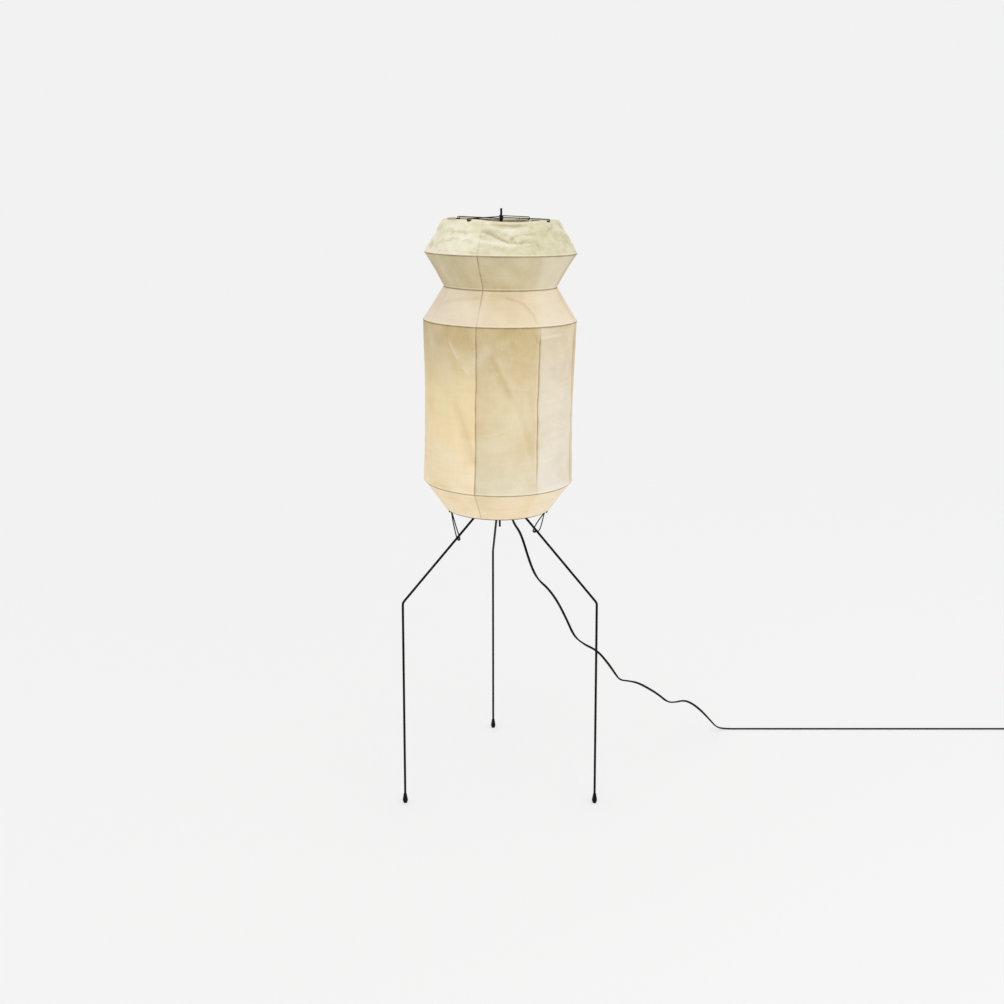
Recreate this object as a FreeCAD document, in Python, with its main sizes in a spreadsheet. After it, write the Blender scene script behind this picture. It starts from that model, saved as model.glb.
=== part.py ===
"""Paper lantern floor lamp, as an assembly of separate pieces.

A tall washi lantern on six wire rings hangs from a thin steel post and is held down by three wire
clips to a stand of three bent rods. A lampholder inside it carries a bulb, and a flat black lead
falls from the holder to the floor and ends in a plug.

Millimetres, +Z up. The origin is the middle of the lamp's footprint on the floor, lead left aside.
Azimuths are degrees from +X towards +Y, and -Y is the front.
"""
import FreeCAD, Part
import math
import os
import re

import Sketcher
from FreeCAD import Placement, Rotation, Vector

UP = Vector(0, 0, 1)

# Driving dimensions: millimetres, and degrees where the name ends in azimuth, lean or angle.
SIZES = {
    # the post
    "post_tip_rise": 22.4,
    "post_end_drop": 77.2,
    "post_diameter": 5.0,
    "post_lean": 0.28,
    # the lantern's folds: the outer radius of each, the hem's height and each band's height over it
    "rim_radius": 129.8,
    "shoulder_radius": 175.1,
    "neck_radius": 130.5,
    "belt_radius": 178.1,
    "base_radius": 178.2,
    "hem_radius": 125.8,
    "hem_height": 727.7,
    "hem_band": 73.7,
    "body_band": 379.2,
    "neck_band": 75.9,
    "shoulder_band": 76.0,
    "top_band": 74.5,
    "lantern_lean": 0.47,
    "paper_thickness": 0.7,
    "gore_count": 8,
    "first_seam_azimuth": 253.0,
    "ring_wire_diameter": 2.0,
    "edge_ring_inset": 1.5,
    "glue_gap": 0.15,
    # the cross of wires at the lantern's top
    "cross_wire_diameter": 2.0,
    "cross_rise": 0.6,
    "cross_level_step": 2.1,
    "cross_lower_azimuth": -37.7,
    "cross_upper_azimuth": 58.0,
    "eye_half": 3.2,
    "slit_width": 3.4,
    "slit_depth": 5.6,
    "knife_reach": 10.0,
    "wire_rest_gap": 0.3,
    "eye_slack": 0.1,
    "cross_bend_share": 0.82,
    "collar_radius": 4.0,
    "collar_foot_radius": 3.0,
    "collar_height": 8.0,
    "collar_land": 2.5,
    # the stand
    "leg_diameter": 5.0,
    "leg_meet_rise": 49.0,
    "leg_inner_reach": 6.5,
    "bend_reach": 265.0,
    "bend_height": 527.4,
    "bend_radius": 12.0,
    "foot_reach": 271.5,
    "front_left_azimuth": 209.8,
    "front_right_azimuth": 330.0,
    "back_azimuth": 94.2,
    "hub_radius": 14.0,
    "hub_height": 26.0,
    "hub_drop": 22.7,
    "hub_chamfer": 1.5,
    "hub_bore_clearance": 0.2,
    "weld_gap": 0.05,
    "seat_gap": 0.15,
    "ferrule_height": 25.0,
    "ferrule_radius": 6.5,
    "ferrule_widest_height": 6.5,
    "ferrule_shoulder_radius": 6.05,
    "ferrule_shoulder_height": 10.4,
    "ferrule_sole_radius": 4.4,
    "ferrule_neck_radius": 3.7,
    "ferrule_sole_thickness": 8.0,
    "ferrule_grip_clearance": 0.3,
    # the thumb screw in the hub
    "thumb_screw_radius": 2.0,
    "thumb_screw_azimuth": 270.0,
    "thumb_head_radius": 7.0,
    "thumb_head_length": 5.0,
    "thumb_head_stand_off": 4.0,
    "turning_clearance": 0.06,
    # the clips from the hem ring to the legs
    "clip_wire_diameter": 2.0,
    "clip_running_gap": 0.3,
    "clip_eye_half": 3.0,
    "clip_slit_width": 5.4,
    "clip_slit_clearance": 0.6,
    "clip_leg_clearance": 0.7,
    "clip_pair_gap": 0.24,
    "clip_wrap_gap": 0.15,
    "clip_tail": 2.0,
    "clip_throat": 4.0,
    "clip_throat_step": 2.0,
    "clip_throat_spread": 0.6,
    "clip_left_shift": -4.3,
    "clip_right_shift": 6.7,
    "clip_back_shift": 0.0,
    "clip_left_reach": 119.0,
    "clip_right_reach": 100.0,
    "clip_back_reach": 104.0,
    "clip_left_spread": 7.5,
    "clip_right_spread": 22.0,
    "clip_back_spread": 9.0,
    "clip_spread_rise": 1.5,
    # the lampholder
    "holder_offset": 36.0,
    "holder_azimuth": 45.0,
    "bracket_rise": 110.3,
    "bracket_thickness": 3.0,
    "bracket_collar_radius": 6.5,
    "bracket_collar_height": 12.0,
    "bracket_eye_radius": 9.0,
    "bracket_screw_radius": 1.5,
    "bracket_screw_height": 4.2,
    "bracket_screw_bite": 1.0,
    "bracket_head_stand_off": 0.6,
    "bracket_head_length": 2.4,
    "nipple_radius": 5.0,
    "nipple_bore_radius": 3.4,
    "nipple_above": 7.0,
    "nipple_below": 8.0,
    "nut_across_corners": 16.0,
    "nut_thickness": 3.0,
    "holder_radius": 18.0,
    "holder_wall": 0.8,
    "holder_cup_height": 24.0,
    "holder_cup_floor_radius": 11.0,
    "holder_cup_taper": 10.1,
    "holder_shell_height": 36.0,
    "holder_bead": 1.0,
    "holder_bead_height": 3.0,
    "insulator_base": 15.5,
    "insulator_height": 10.5,
    "liner_wall": 0.8,
    "liner_short": 4.0,
    "screw_shell_radius": 14.4,
    "screw_shell_wall": 0.5,
    "screw_shell_height": 24.0,
    "contact_radius": 3.0,
    "contact_height": 2.0,
    "bulb_cap_radius": 13.6,
    "bulb_cap_height": 26.0,
    "bulb_tip_radius": 4.0,
    "bulb_tip_height": 2.0,
    "bulb_radius": 30.0,
    "bulb_length": 104.0,
    "bulb_glass_wall": 1.0,
    "bulb_touch_share": 0.62,
    "knob_height": 12.0,
    "knob_stem_radius": 2.2,
    "knob_radius": 5.5,
    "knob_length": 14.0,
    "knob_stand_off": 3.0,
    "knob_stem_clearance": 1.0,
    "knob_azimuth": -45.0,
    "bush_length": 22.0,
    "bush_collar_length": 6.0,
    "bush_top_radius": 6.0,
    "bush_end_radius": 4.0,
    # the lead
    "cord_diameter": 5.6,
    "coil_mean_radius": 31.0,
    "coil_turns": 5,
    "coil_gap": 0.5,
    "coil_layer_gap": 0.6,
    "tie_width": 6.0,
    "tie_thickness": 1.0,
    "tie_gap": 0.3,
    "plug_length": 26.0,
    "plug_width": 20.0,
    "plug_thickness": 14.0,
    "plug_rounding": 3.0,
    "blade_length": 17.5,
    "blade_width": 6.3,
    "blade_thickness": 1.5,
    "blade_spacing": 12.7,
}

# The lead's route from the holder to the floor, chosen by hand: from the post's centre line.
HANGING_ROUTE = [
    (25.7, 25.5, 744.0), (26.2, 25.8, 706.0), (33.0, 28.4, 678.0), (48.3, 34.3, 654.0),
    (58.1, 38.1, 627.3), (70.6, 42.9, 583.2), (83.2, 47.8, 546.2), (97.2, 53.2, 519.1),
    (122.2, 62.9, 493.2), (147.2, 72.6, 454.3), (172.3, 82.3, 400.3), (192.3, 90.1, 351.2),
    (218.3, 100.1, 325.3), (256.3, 114.9, 300.4), (287.3, 126.9, 258.0), (306.4, 134.2, 226.5),
    (320.3, 139.7, 205.1), (343.3, 148.6, 198.7), (371.3, 159.4, 188.3), (401.3, 171.0, 166.9),
    (431.3, 182.6, 143.0), (459.3, 193.5, 114.6), (480.3, 201.6, 110.3), (508.2, 212.4, 111.4),
    (532.2, 221.7, 97.0), (559.1, 232.2, 71.6), (588.1, 243.4, 36.3), (609.1, 251.5, 9.8),
]
FLOOR_POINT_REACH = 634.0
LEAD_SPLIT_RUN = 56.0
LEAD_DEPTH = 257.4
COIL_REACH = 1465.0
TAIL_REACH = 18.0
PLUG_REACH = 66.0
SHARPEST_TURN = 3.0

doc = FreeCAD.newDocument("PaperLanternLamp")
sheet = doc.addObject("Spreadsheet::Sheet", "Sizes")
for row, (alias, number) in enumerate(SIZES.items(), start=1):
    sheet.set(f"A{row}", alias)
    sheet.set(f"B{row}", str(number))
    sheet.setAlias(f"B{row}", alias)
doc.recompute()

pieces = []


def size(alias):
    """The sheet's value of one driving dimension."""
    return float(sheet.get(alias))


def formula(text):
    """An expression in which each alias is read from the sheet."""
    return re.sub(r"[a-z_]+", lambda word: f"Sizes.{word[0]}" if word[0] in SIZES else word[0], text)


def worth(text):
    """What such an expression comes to."""
    result = sheet.evalExpression(formula(text))
    return float(getattr(result, "Value", result))


def bind(thing, **expressions):
    """Bind an object's properties to formulas of the sheet's aliases."""
    for name, text in expressions.items():
        thing.setExpression(name, formula(text))


def polar(reach, azimuth, height=0.0):
    """The point at a reach and azimuth from the post's centre line."""
    turn = math.radians(azimuth)
    return Vector(reach * math.cos(turn), reach * math.sin(turn), height)


# ---------------------------------------------------------------- frames
LEGS = {"front_left": size("front_left_azimuth"), "front_right": size("front_right_azimuth"),
        "back": size("back_azimuth")}
FOLD_HEIGHTS = {
    "rim": "hem_height+hem_band+body_band+neck_band+shoulder_band+top_band",
    "shoulder": "hem_height+hem_band+body_band+neck_band+shoulder_band",
    "neck": "hem_height+hem_band+body_band+neck_band",
    "belt": "hem_height+hem_band+body_band",
    "base": "hem_height+hem_band",
    "hem": "hem_height",
}
PAPER_FOLDS = [(size(f"{fold}_radius"), worth(height)) for fold, height in FOLD_HEIGHTS.items()]
RIM_HEIGHT = worth(FOLD_HEIGHTS["rim"])
CROSS_HEIGHT = RIM_HEIGHT + size("cross_rise")
LEG_MEET = size("hem_height") + size("leg_meet_rise")
LEG_SLOPE = (LEG_MEET - size("bend_height")) / size("bend_reach")
HUB_BASE = LEG_MEET - size("hub_drop")
HUB_MIDDLE = HUB_BASE + size("hub_height") / 2
POST_END = HUB_BASE - size("post_end_drop")


def middle_offset():
    """From the footprint's middle to the post, so that the origin is under the box's middle."""
    widest = max(radius for radius, _ in PAPER_FOLDS)
    feet = [polar(size("foot_reach"), azimuth) for azimuth in LEGS.values()]
    edge = size("ferrule_radius")
    middle = []
    for axis in ("x", "y"):
        places = [getattr(foot, axis) for foot in feet]
        high = max([place + edge for place in places] + [widest])
        low = min([place - edge for place in places] + [-widest])
        middle.append(-(high + low) / 2)
    return Vector(middle[0], middle[1], 0)


def lean_about(height, angle):
    """A lean towards +X about the post's centre line at a height."""
    return Placement(Vector(), Rotation(Vector(0, 1, 0), angle), Vector(0, 0, height))


STAND = Placement(middle_offset(), Rotation())
POST = STAND * lean_about(HUB_MIDDLE, size("post_lean"))
LANTERN = POST * lean_about(CROSS_HEIGHT, size("lantern_lean"))
HOLDER_PLACE = polar(size("holder_offset"), size("holder_azimuth"), size("hem_height") + size("bracket_rise"))
HOLDER = POST * Placement(HOLDER_PLACE, Rotation())


# ---------------------------------------------------------------- making
def keep(thing, label, place):
    """Name a finished piece and put it in its place."""
    thing.Label = label
    thing.Placement = place
    pieces.append(thing)
    return thing


def outline(body, corners):
    """A closed outline on the body's XZ plane, each corner a pair of formulas."""
    plane = next(part for part in body.Origin.OriginFeatures if part.Role == "XZ_Plane")
    sketch = body.newObject("Sketcher::SketchObject", "Outline")
    sketch.AttachmentSupport = (plane, [""])
    sketch.MapMode = "FlatFace"
    spots = [Vector(worth(across), worth(up), 0) for across, up in corners]
    for start, end in zip(spots, spots[1:] + spots[:1]):
        sketch.addGeometry(Part.LineSegment(start, end), False)
    for index in range(len(spots)):
        sketch.addConstraint(Sketcher.Constraint("Coincident", index, 2, (index + 1) % len(spots), 1))
    for index, (across, up) in enumerate(corners):
        for kind, text, axis in (("DistanceX", across, -2), ("DistanceY", up, -1)):
            if text == "0":
                sketch.addConstraint(Sketcher.Constraint("PointOnObject", index, 1, axis))
                continue
            number = sketch.addConstraint(Sketcher.Constraint(kind, -1, 1, index, 1, worth(text)))
            sketch.setExpression(f"Constraints[{number}]", formula(text))
    return sketch


def turned(label, place, corners, angle=None):
    """A turned piece: an outline revolved about Z, or its middle part if an angle is given."""
    body = doc.addObject("PartDesign::Body", label)
    sketch = outline(body, corners)
    turn = body.newObject("PartDesign::Revolution", "Turn")
    turn.Profile = sketch
    turn.ReferenceAxis = (sketch, ["V_Axis"])
    turn.Angle = 360
    if angle:
        turn.Midplane = True
        bind(turn, Angle=angle)
    return keep(body, label, place)


def rod(label, place, radius, length):
    """A plain round bar along Z from its placement, or a disc."""
    bar = doc.addObject("Part::Cylinder", label)
    bind(bar, Radius=radius, Height=length)
    bar.Placement = place
    return bar


def block(label, place, length, width, height):
    """A plain box whose sides are formulas."""
    box = doc.addObject("Part::Box", label)
    bind(box, Length=length, Width=width, Height=height)
    box.Placement = place
    return box


def joined(label, parts):
    """Several solids made one."""
    union = doc.addObject("Part::MultiFuse", label)
    union.Shapes = parts
    return union


def cut(label, base, tool):
    """One solid less another."""
    rest = doc.addObject("Part::Cut", label)
    rest.Base = base
    rest.Tool = tool
    return rest


def at(height, x=0.0, y=0.0):
    """A placement at a point, unturned."""
    return Placement(Vector(x, y, height), Rotation())


def facing(direction, point):
    """A placement whose +Z looks along a direction."""
    return Placement(point, Rotation(UP, direction))


def formed(label, shape, place):
    """A piece whose shape is bent or wound along a route."""
    thing = doc.addObject("Part::Feature", label)
    thing.Shape = shape
    return keep(thing, label, place)


# ---------------------------------------------------------------- bent wires
def corner(before, point, after, radius):
    """Where a tangent arc of a radius starts, is halfway and ends at a corner."""
    back = (before - point).normalize()
    on = (after - point).normalize()
    half = (math.pi - back.getAngle(on)) / 2
    reach = radius * math.tan(half)
    inward = (back + on).normalize()
    halfway = point + inward * (radius / math.cos(half) - radius)
    return point + back * reach, halfway, point + on * reach


def route(points, radii):
    """A wire of straight runs joined by tangent arcs."""
    edges = []
    start = points[0]
    for index, radius in enumerate(radii, start=1):
        first, halfway, last = corner(points[index - 1], points[index], points[index + 1], radius)
        if (first - start).Length > 1e-6:
            edges.append(Part.LineSegment(start, first).toShape())
        edges.append(Part.Arc(first, halfway, last).toShape())
        start = last
    edges.append(Part.LineSegment(start, points[-1]).toShape())
    return Part.Wire(edges)


def swept(path, diameter):
    """A round wire along a path."""
    edge = path.OrderedEdges[0]
    start = edge.valueAt(edge.FirstParameter)
    heading = edge.tangentAt(edge.FirstParameter)
    ring = Part.Wire(Part.makeCircle(diameter / 2, start, heading))
    shell = Part.BRepOffsetAPI.MakePipeShell(path)
    shell.add(ring)
    shell.build()
    shell.makeSolid()
    solid = shell.shape()
    should_be = math.pi * diameter ** 2 / 4 * path.Length
    if abs(solid.Volume / should_be - 1) > 0.01:
        raise ValueError(f"a wire of {path.Length:.0f} mm has {solid.Volume / should_be:.3f} of its volume")
    return solid


def bent(points, radius, diameter):
    """A wire bent to one radius at every corner."""
    return swept(route(points, [radius] * (len(points) - 2)), diameter)


# ---------------------------------------------------------------- the lantern
def inset_folds(distance):
    """The paper's outline moved inwards, as (radius, height) of each fold."""
    inner = []
    for index, (radius, height) in enumerate(PAPER_FOLDS):
        normals = []
        for first, second in ((index - 1, index), (index, index + 1)):
            if first >= 0 and second < len(PAPER_FOLDS):
                run = Vector(PAPER_FOLDS[second][0] - PAPER_FOLDS[first][0],
                             PAPER_FOLDS[second][1] - PAPER_FOLDS[first][1], 0).normalize()
                normals.append(Vector(run.y, -run.x, 0))
        middle = sum(normals, Vector()).normalize()
        step = middle * (distance / middle.dot(normals[0]))
        inner.append((radius + step.x, height + step.y))
    return inner


def ring_centres():
    """Each ring wire's (radius, height): in the fold's corner, just clear of the paper."""
    inset = size("paper_thickness") + size("glue_gap") + size("ring_wire_diameter") / 2
    folds = inset_folds(inset)
    for end, beside in ((0, 1), (-1, -2)):
        (radius, height), (next_radius, next_height) = folds[end], folds[beside]
        share = size("edge_ring_inset") / abs(next_height - height)
        folds[end] = (radius + share * (next_radius - radius), height + share * (next_height - height))
    return folds


def eye_slit(azimuth, side):
    """The knife for the slit through which one eye of the cross passes the rim's paper."""
    width = size("slit_width")
    aside = polar(side, azimuth + 90)
    inner = size("rim_radius") - size("knife_reach")
    corner_place = polar(inner, azimuth, RIM_HEIGHT - size("slit_depth")) + aside
    place = LANTERN * Placement(corner_place, Rotation(UP, azimuth)) * at(0, 0, -width / 2)
    return block("eye_slit", place, "2*knife_reach", "slit_width", "slit_depth+knife_reach")


def clip_slit(name):
    """The knife for the slit in which one clip's hook turns at the hem."""
    place, _, _ = clip_frame(name)
    top = clip_hook() + size("clip_wire_diameter") / 2 + size("clip_slit_clearance")
    upright = STAND * Placement(place.Base, Rotation(UP, hook_azimuth(name)))
    deep = 2 * size("knife_reach")
    return block("clip_slit", upright * at(top - deep, -deep / 2, -size("clip_slit_width") / 2),
                 "2*knife_reach", "clip_slit_width", "2*knife_reach")


def gore_knives():
    """Every slit's knife, with the azimuth it is cut at, seen from the lantern's middle."""
    side = eye_side()
    knives = [(size(f"cross_{level}_azimuth") + half, eye_slit(size(f"cross_{level}_azimuth") + half,
                                                               side if half == 0 else -side))
              for level in ("lower", "upper") for half in (0, 180)]
    for name in LEGS:
        knives.append((hook_azimuth(name), clip_slit(name)))
    return knives


def make_lantern():
    """Eight gores of paper from seam to seam, and the six rings glued in their folds."""
    thickness = size("paper_thickness")
    inner = inset_folds(thickness)
    outer_corners = [(f"{name}_radius", height) for name, height in FOLD_HEIGHTS.items()]
    shifts = [(radius - outer[0], height - outer[1]) for (radius, height), outer in zip(inner, PAPER_FOLDS)]
    inner_corners = [(f"{name}_radius+({across / thickness:.6f})*paper_thickness",
                      f"{height}+({up / thickness:.6f})*paper_thickness")
                     for (name, height), (across, up) in zip(FOLD_HEIGHTS.items(), shifts)]
    count = int(size("gore_count"))
    step = 360 / count
    knives = gore_knives()
    for index in range(count):
        middle = size("first_seam_azimuth") + step * (index + 0.5)
        place = LANTERN * Placement(Vector(), Rotation(UP, middle))
        label = f"paper_gore_{index + 1}"
        body = turned(label, place, outer_corners + inner_corners[::-1], "360/gore_count")
        near = [knife for azimuth, knife in knives if abs((azimuth - middle + 180) % 360 - 180) < step / 2]
        if near:
            pieces.remove(body)
            body.Label = f"{label}_uncut"
            tool = joined(f"{label}_slits", near) if len(near) > 1 else near[0]
            keep(cut(label, body, tool), label, Placement())
    rings = ("top_rim_ring", "shoulder_ring", "neck_ring", "belt_ring", "base_ring", "bottom_rim_ring")
    for label, (radius, height) in zip(rings, ring_centres()):
        hoop = doc.addObject("Part::Torus", label)
        hoop.Radius1 = radius
        bind(hoop, Radius2="ring_wire_diameter/2")
        keep(hoop, label, LANTERN * at(height))


def eye_side():
    """How far the cross's wires run beside the post's centre line."""
    return (size("post_diameter") + size("cross_wire_diameter")) / 2 + size("wire_rest_gap")


def cross_wire(level):
    """One wire of the cross: an eye at each end and a turn round the post, along +X."""
    wire = size("cross_wire_diameter")
    half = eye_side()
    step = size("cross_level_step")
    low = CROSS_HEIGHT + level * 2 * step
    rim_radius, rim_height = ring_centres()[0]
    eye = size("eye_half")
    slack = eye - (wire + size("ring_wire_diameter")) / 2 - size("eye_slack")
    middle = rim_height + slack
    reach = math.sqrt(rim_radius ** 2 - half ** 2)
    top = middle + eye
    tail = top - wire - size("wire_rest_gap")
    points = [Vector(-reach + eye, half, tail), Vector(-reach + eye, half, middle - eye),
              Vector(-reach - eye, half, middle - eye), Vector(-reach - eye, half, top),
              Vector(half, half, low), Vector(half, -half, low + size("weld_gap")),
              Vector(-half, -half, low + step / 2), Vector(-half, half, low + step),
              Vector(reach + eye, half, top), Vector(reach + eye, half, middle - eye),
              Vector(reach - eye, half, middle - eye), Vector(reach - eye, half, tail)]
    return bent(points, min(eye, half) * size("cross_bend_share"), wire)


def make_cross():
    """The two wires that cross over the post and carry the lantern's top ring."""
    for level, name in enumerate(("lower", "upper")):
        place = LANTERN * Placement(Vector(), Rotation(UP, size(f"cross_{name}_azimuth")))
        formed(f"cross_wire_{name}", cross_wire(level), place)


# ---------------------------------------------------------------- the post and stand
def make_post():
    """The steel rod, and the tapered collar that the cross rests on."""
    above_hem = "hem_band+body_band+neck_band+shoulder_band+top_band+cross_rise+post_tip_rise"
    bar = rod("post", Placement(), "post_diameter/2", f"{above_hem}-leg_meet_rise+hub_drop+post_end_drop")
    keep(bar, "post", POST * at(POST_END))
    bore = "post_diameter/2+weld_gap"
    turned("post_top_collar",
           POST * at(CROSS_HEIGHT - size("cross_wire_diameter") / 2 - size("seat_gap") - size("collar_height")),
           [(bore, "0"), ("collar_foot_radius", "0"), ("collar_radius", "collar_height-collar_land"),
            ("collar_radius", "collar_height"), (bore, "collar_height")])


def leg_points():
    """The leg's corners in its own upright plane, from the foot up to the hub."""
    foot = Vector(size("foot_reach"), 0, size("ferrule_sole_thickness") + size("weld_gap"))
    bend = Vector(size("bend_reach"), 0, size("bend_height"))
    inner = size("leg_inner_reach")
    end = Vector(inner, 0, LEG_MEET - LEG_SLOPE * inner)
    return [foot, bend, end]


def make_legs():
    """Three bent rods, each in a rubber ferrule."""
    for name, azimuth in LEGS.items():
        place = STAND * Placement(Vector(), Rotation(UP, azimuth))
        shape = bent(leg_points(), size("bend_radius"), size("leg_diameter"))
        formed(f"leg_{name}", shape, place)
        bore = "leg_diameter/2+ferrule_grip_clearance"
        turned(f"foot_{name}", STAND * Placement(polar(size("foot_reach"), azimuth), Rotation()),
               [("0", "0"), ("ferrule_sole_radius", "0"),
                ("ferrule_radius", "ferrule_widest_height"),
                ("ferrule_shoulder_radius", "ferrule_shoulder_height"),
                ("ferrule_neck_radius", "ferrule_height"), (bore, "ferrule_height"),
                (bore, "ferrule_sole_thickness"), ("0", "ferrule_sole_thickness")])


def make_hub():
    """The turned hub: a bore for the post, a socket for each leg and one for the thumb screw."""
    blank = turned("leg_hub_blank", STAND * at(HUB_BASE),
                   [("post_diameter/2+hub_bore_clearance", "0"), ("hub_radius-hub_chamfer", "0"),
                    ("hub_radius", "hub_chamfer"), ("hub_radius", "hub_height-hub_chamfer"),
                    ("hub_radius-hub_chamfer", "hub_height"),
                    ("post_diameter/2+hub_bore_clearance", "hub_height")])
    pieces.remove(blank)
    end = leg_points()[2]
    drills = []
    for azimuth in LEGS.values():
        outward = polar(1, azimuth, -LEG_SLOPE)
        start = polar(end.x, azimuth, end.z) - outward.normalize() * size("weld_gap")
        place = STAND * facing(outward, start)
        drills.append(rod("leg_socket", place, "leg_diameter/2+weld_gap", "2*hub_radius"))
    place = STAND * facing(polar(1, size("thumb_screw_azimuth")), Vector(0, 0, HUB_MIDDLE))
    drills.append(rod("thumb_hole", place, "thumb_screw_radius+turning_clearance", "2*hub_radius"))
    keep(cut("leg_hub", blank, joined("hub_drills", drills)), "leg_hub", Placement())
    screw = joined("thumb_screw", [
        rod("thumb_shank", at(size("post_diameter") / 2 + size("hub_bore_clearance") + size("turning_clearance")),
            "thumb_screw_radius", "hub_radius+thumb_head_stand_off-post_diameter/2"),
        rod("thumb_head", at(size("hub_radius") + size("thumb_head_stand_off")),
            "thumb_head_radius", "thumb_head_length")])
    keep(screw, "thumb_screw", place)


# ---------------------------------------------------------------- the clips
CLIPS = {"front_left": ("left", 1), "front_right": ("right", -1), "back": ("back", 1)}


def hook_azimuth(name):
    """Where a clip's hook is on the hem ring: beside its leg."""
    return LEGS[name] + size(f"clip_{CLIPS[name][0]}_shift")


def clip_hook():
    """From the hem ring's centre line to the hook's."""
    return (size("ring_wire_diameter") + size("clip_wire_diameter")) / 2 + size("clip_running_gap")


def clip_frame(name):
    """Where a clip hangs: its placement, with +X along the ring and -Z down the clip, its length and
    how far aside of the hook its bar passes under the leg."""
    radius, height = ring_centres()[-1]
    ring = STAND.inverse() * LANTERN * at(height)
    centre = ring.Base
    outward = polar(1, hook_azimuth(name))
    sideways = centre.cross(outward).z
    along = centre.dot(outward) + math.sqrt(radius ** 2 - sideways ** 2)
    top = outward * along
    normal = ring.Rotation.multVec(UP)
    top.z = centre.z - ((top - centre).x * normal.x + (top - centre).y * normal.y) / normal.z
    azimuth = LEGS[name]
    reach = size(f"clip_{CLIPS[name][0]}_reach")
    on_leg = polar(reach, azimuth, LEG_MEET - LEG_SLOPE * reach)
    under = polar(-LEG_SLOPE, azimuth, -1).normalize()
    room = size("leg_diameter") / 2 + size("clip_wire_diameter") / 2 + size("clip_running_gap")
    bar = on_leg + under * room
    across = Vector(-outward.y, outward.x, 0)
    aside = (bar - top).dot(across)
    down = bar - top - across * aside
    return Placement(top, Rotation(across, Vector(), down * -1, "XZY")), down.Length, aside


def make_clips():
    """Three wire clips that draw the lantern's hem ring down to the legs."""
    wire = size("clip_wire_diameter")
    hook = clip_hook()
    eye = size("clip_eye_half")
    beside = (size("leg_diameter") + wire) / 2 + size("clip_leg_clearance")
    apart = (wire + size("clip_pair_gap")) / 2
    over = wire + size("clip_wrap_gap")
    tail = -size("clip_tail")
    throat = -size("clip_throat")
    for name, (side, hand) in CLIPS.items():
        place, length, aside = clip_frame(name)
        spread = size(f"clip_{side}_spread")
        middle = hand * aside
        near = middle + beside
        far = middle + beside + 2 * eye
        bar = -length
        shape = [
            (apart, -hook, tail), (apart, -hook, hook), (apart, hook, hook), (apart, hook, throat),
            (far, over, bar + 3 * eye), (far, over, bar), (near, over, bar),
            (near, over / 2, bar + 2 * eye), (far, 0, bar + 2 * eye), (far, 0, bar),
            (middle - beside, 0, bar), (middle - spread, 0, bar + size("clip_spread_rise")),
            (-apart - size("clip_throat_spread"), hook, throat - size("clip_throat_step")),
            (-apart, hook, throat), (-apart, hook, hook), (-apart, -hook, hook), (-apart, -hook, tail)]
        points = [Vector(hand * x, y, z) for x, y, z in shape]
        formed(f"clip_{name}", bent_to_fit(points, hook * 0.95, wire), STAND * place)


def bent_to_fit(points, radius, diameter):
    """A wire bent to a radius, or tighter where its runs are short."""
    radii = []
    for before, point, after in zip(points, points[1:], points[2:]):
        half = (math.pi - (before - point).getAngle(after - point)) / 2
        room = 0.47 * min((before - point).Length, (after - point).Length) / math.tan(half)
        radii.append(min(radius, room))
    return swept(route(points, radii), diameter)


# ---------------------------------------------------------------- the lampholder and bulb
def make_bracket():
    """The bracket on the post, its screw, and the tube and nut that hold the lampholder."""
    back = -size("holder_offset")
    local = Placement(Vector(), Rotation(UP, size("holder_azimuth")))
    top = -size("bracket_thickness")
    arm = block("bracket_arm", at(top, back, -size("bracket_collar_radius")),
                "holder_offset", "2*bracket_collar_radius", "bracket_thickness")
    collar = rod("bracket_collar", at(top, back), "bracket_collar_radius", "bracket_collar_height")
    eye = rod("bracket_eye", at(top), "bracket_eye_radius", "bracket_thickness")
    screw_line = facing(Vector(-1, 0, 0), Vector(back, 0, size("bracket_screw_height")))
    tap = rod("bracket_tap", screw_line, "bracket_screw_radius+weld_gap", "2*bracket_collar_radius")
    bores = [rod("post_bore", at(2 * top, back), "post_diameter/2+weld_gap", "2*bracket_collar_height"),
             rod("nipple_bore", at(2 * top), "nipple_radius+weld_gap", "3*bracket_thickness"), tap]
    body = cut("holder_bracket", joined("bracket_body", [arm, collar, eye]), joined("bracket_bores", bores))
    keep(body, "holder_bracket", HOLDER * local)
    screw = joined("bracket_screw", [
        rod("bracket_shank", at(size("post_diameter") / 2 + 2 * size("weld_gap")), "bracket_screw_radius",
            "bracket_collar_radius-post_diameter/2+bracket_screw_bite"),
        rod("bracket_head", at(size("bracket_collar_radius") + size("bracket_head_stand_off")),
            "2*bracket_screw_radius", "bracket_head_length")])
    keep(screw, "bracket_screw", HOLDER * local * screw_line)
    turned("holder_nipple", HOLDER * at(-size("nipple_below")),
           [("nipple_bore_radius", "0"), ("nipple_radius", "0"), ("nipple_radius", "nipple_below+nipple_above"),
            ("nipple_bore_radius", "nipple_below+nipple_above")])
    prism = doc.addObject("Part::Prism", "nut_blank")
    prism.Polygon = 6
    bind(prism, Circumradius="nut_across_corners/2", Height="nut_thickness")
    hole = rod("nut_hole", at(-size("nut_thickness")), "nipple_radius+weld_gap", "3*nut_thickness")
    keep(cut("nipple_nut", prism, hole), "nipple_nut",
         HOLDER * at(-size("bracket_thickness") - size("nut_thickness")))


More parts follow.
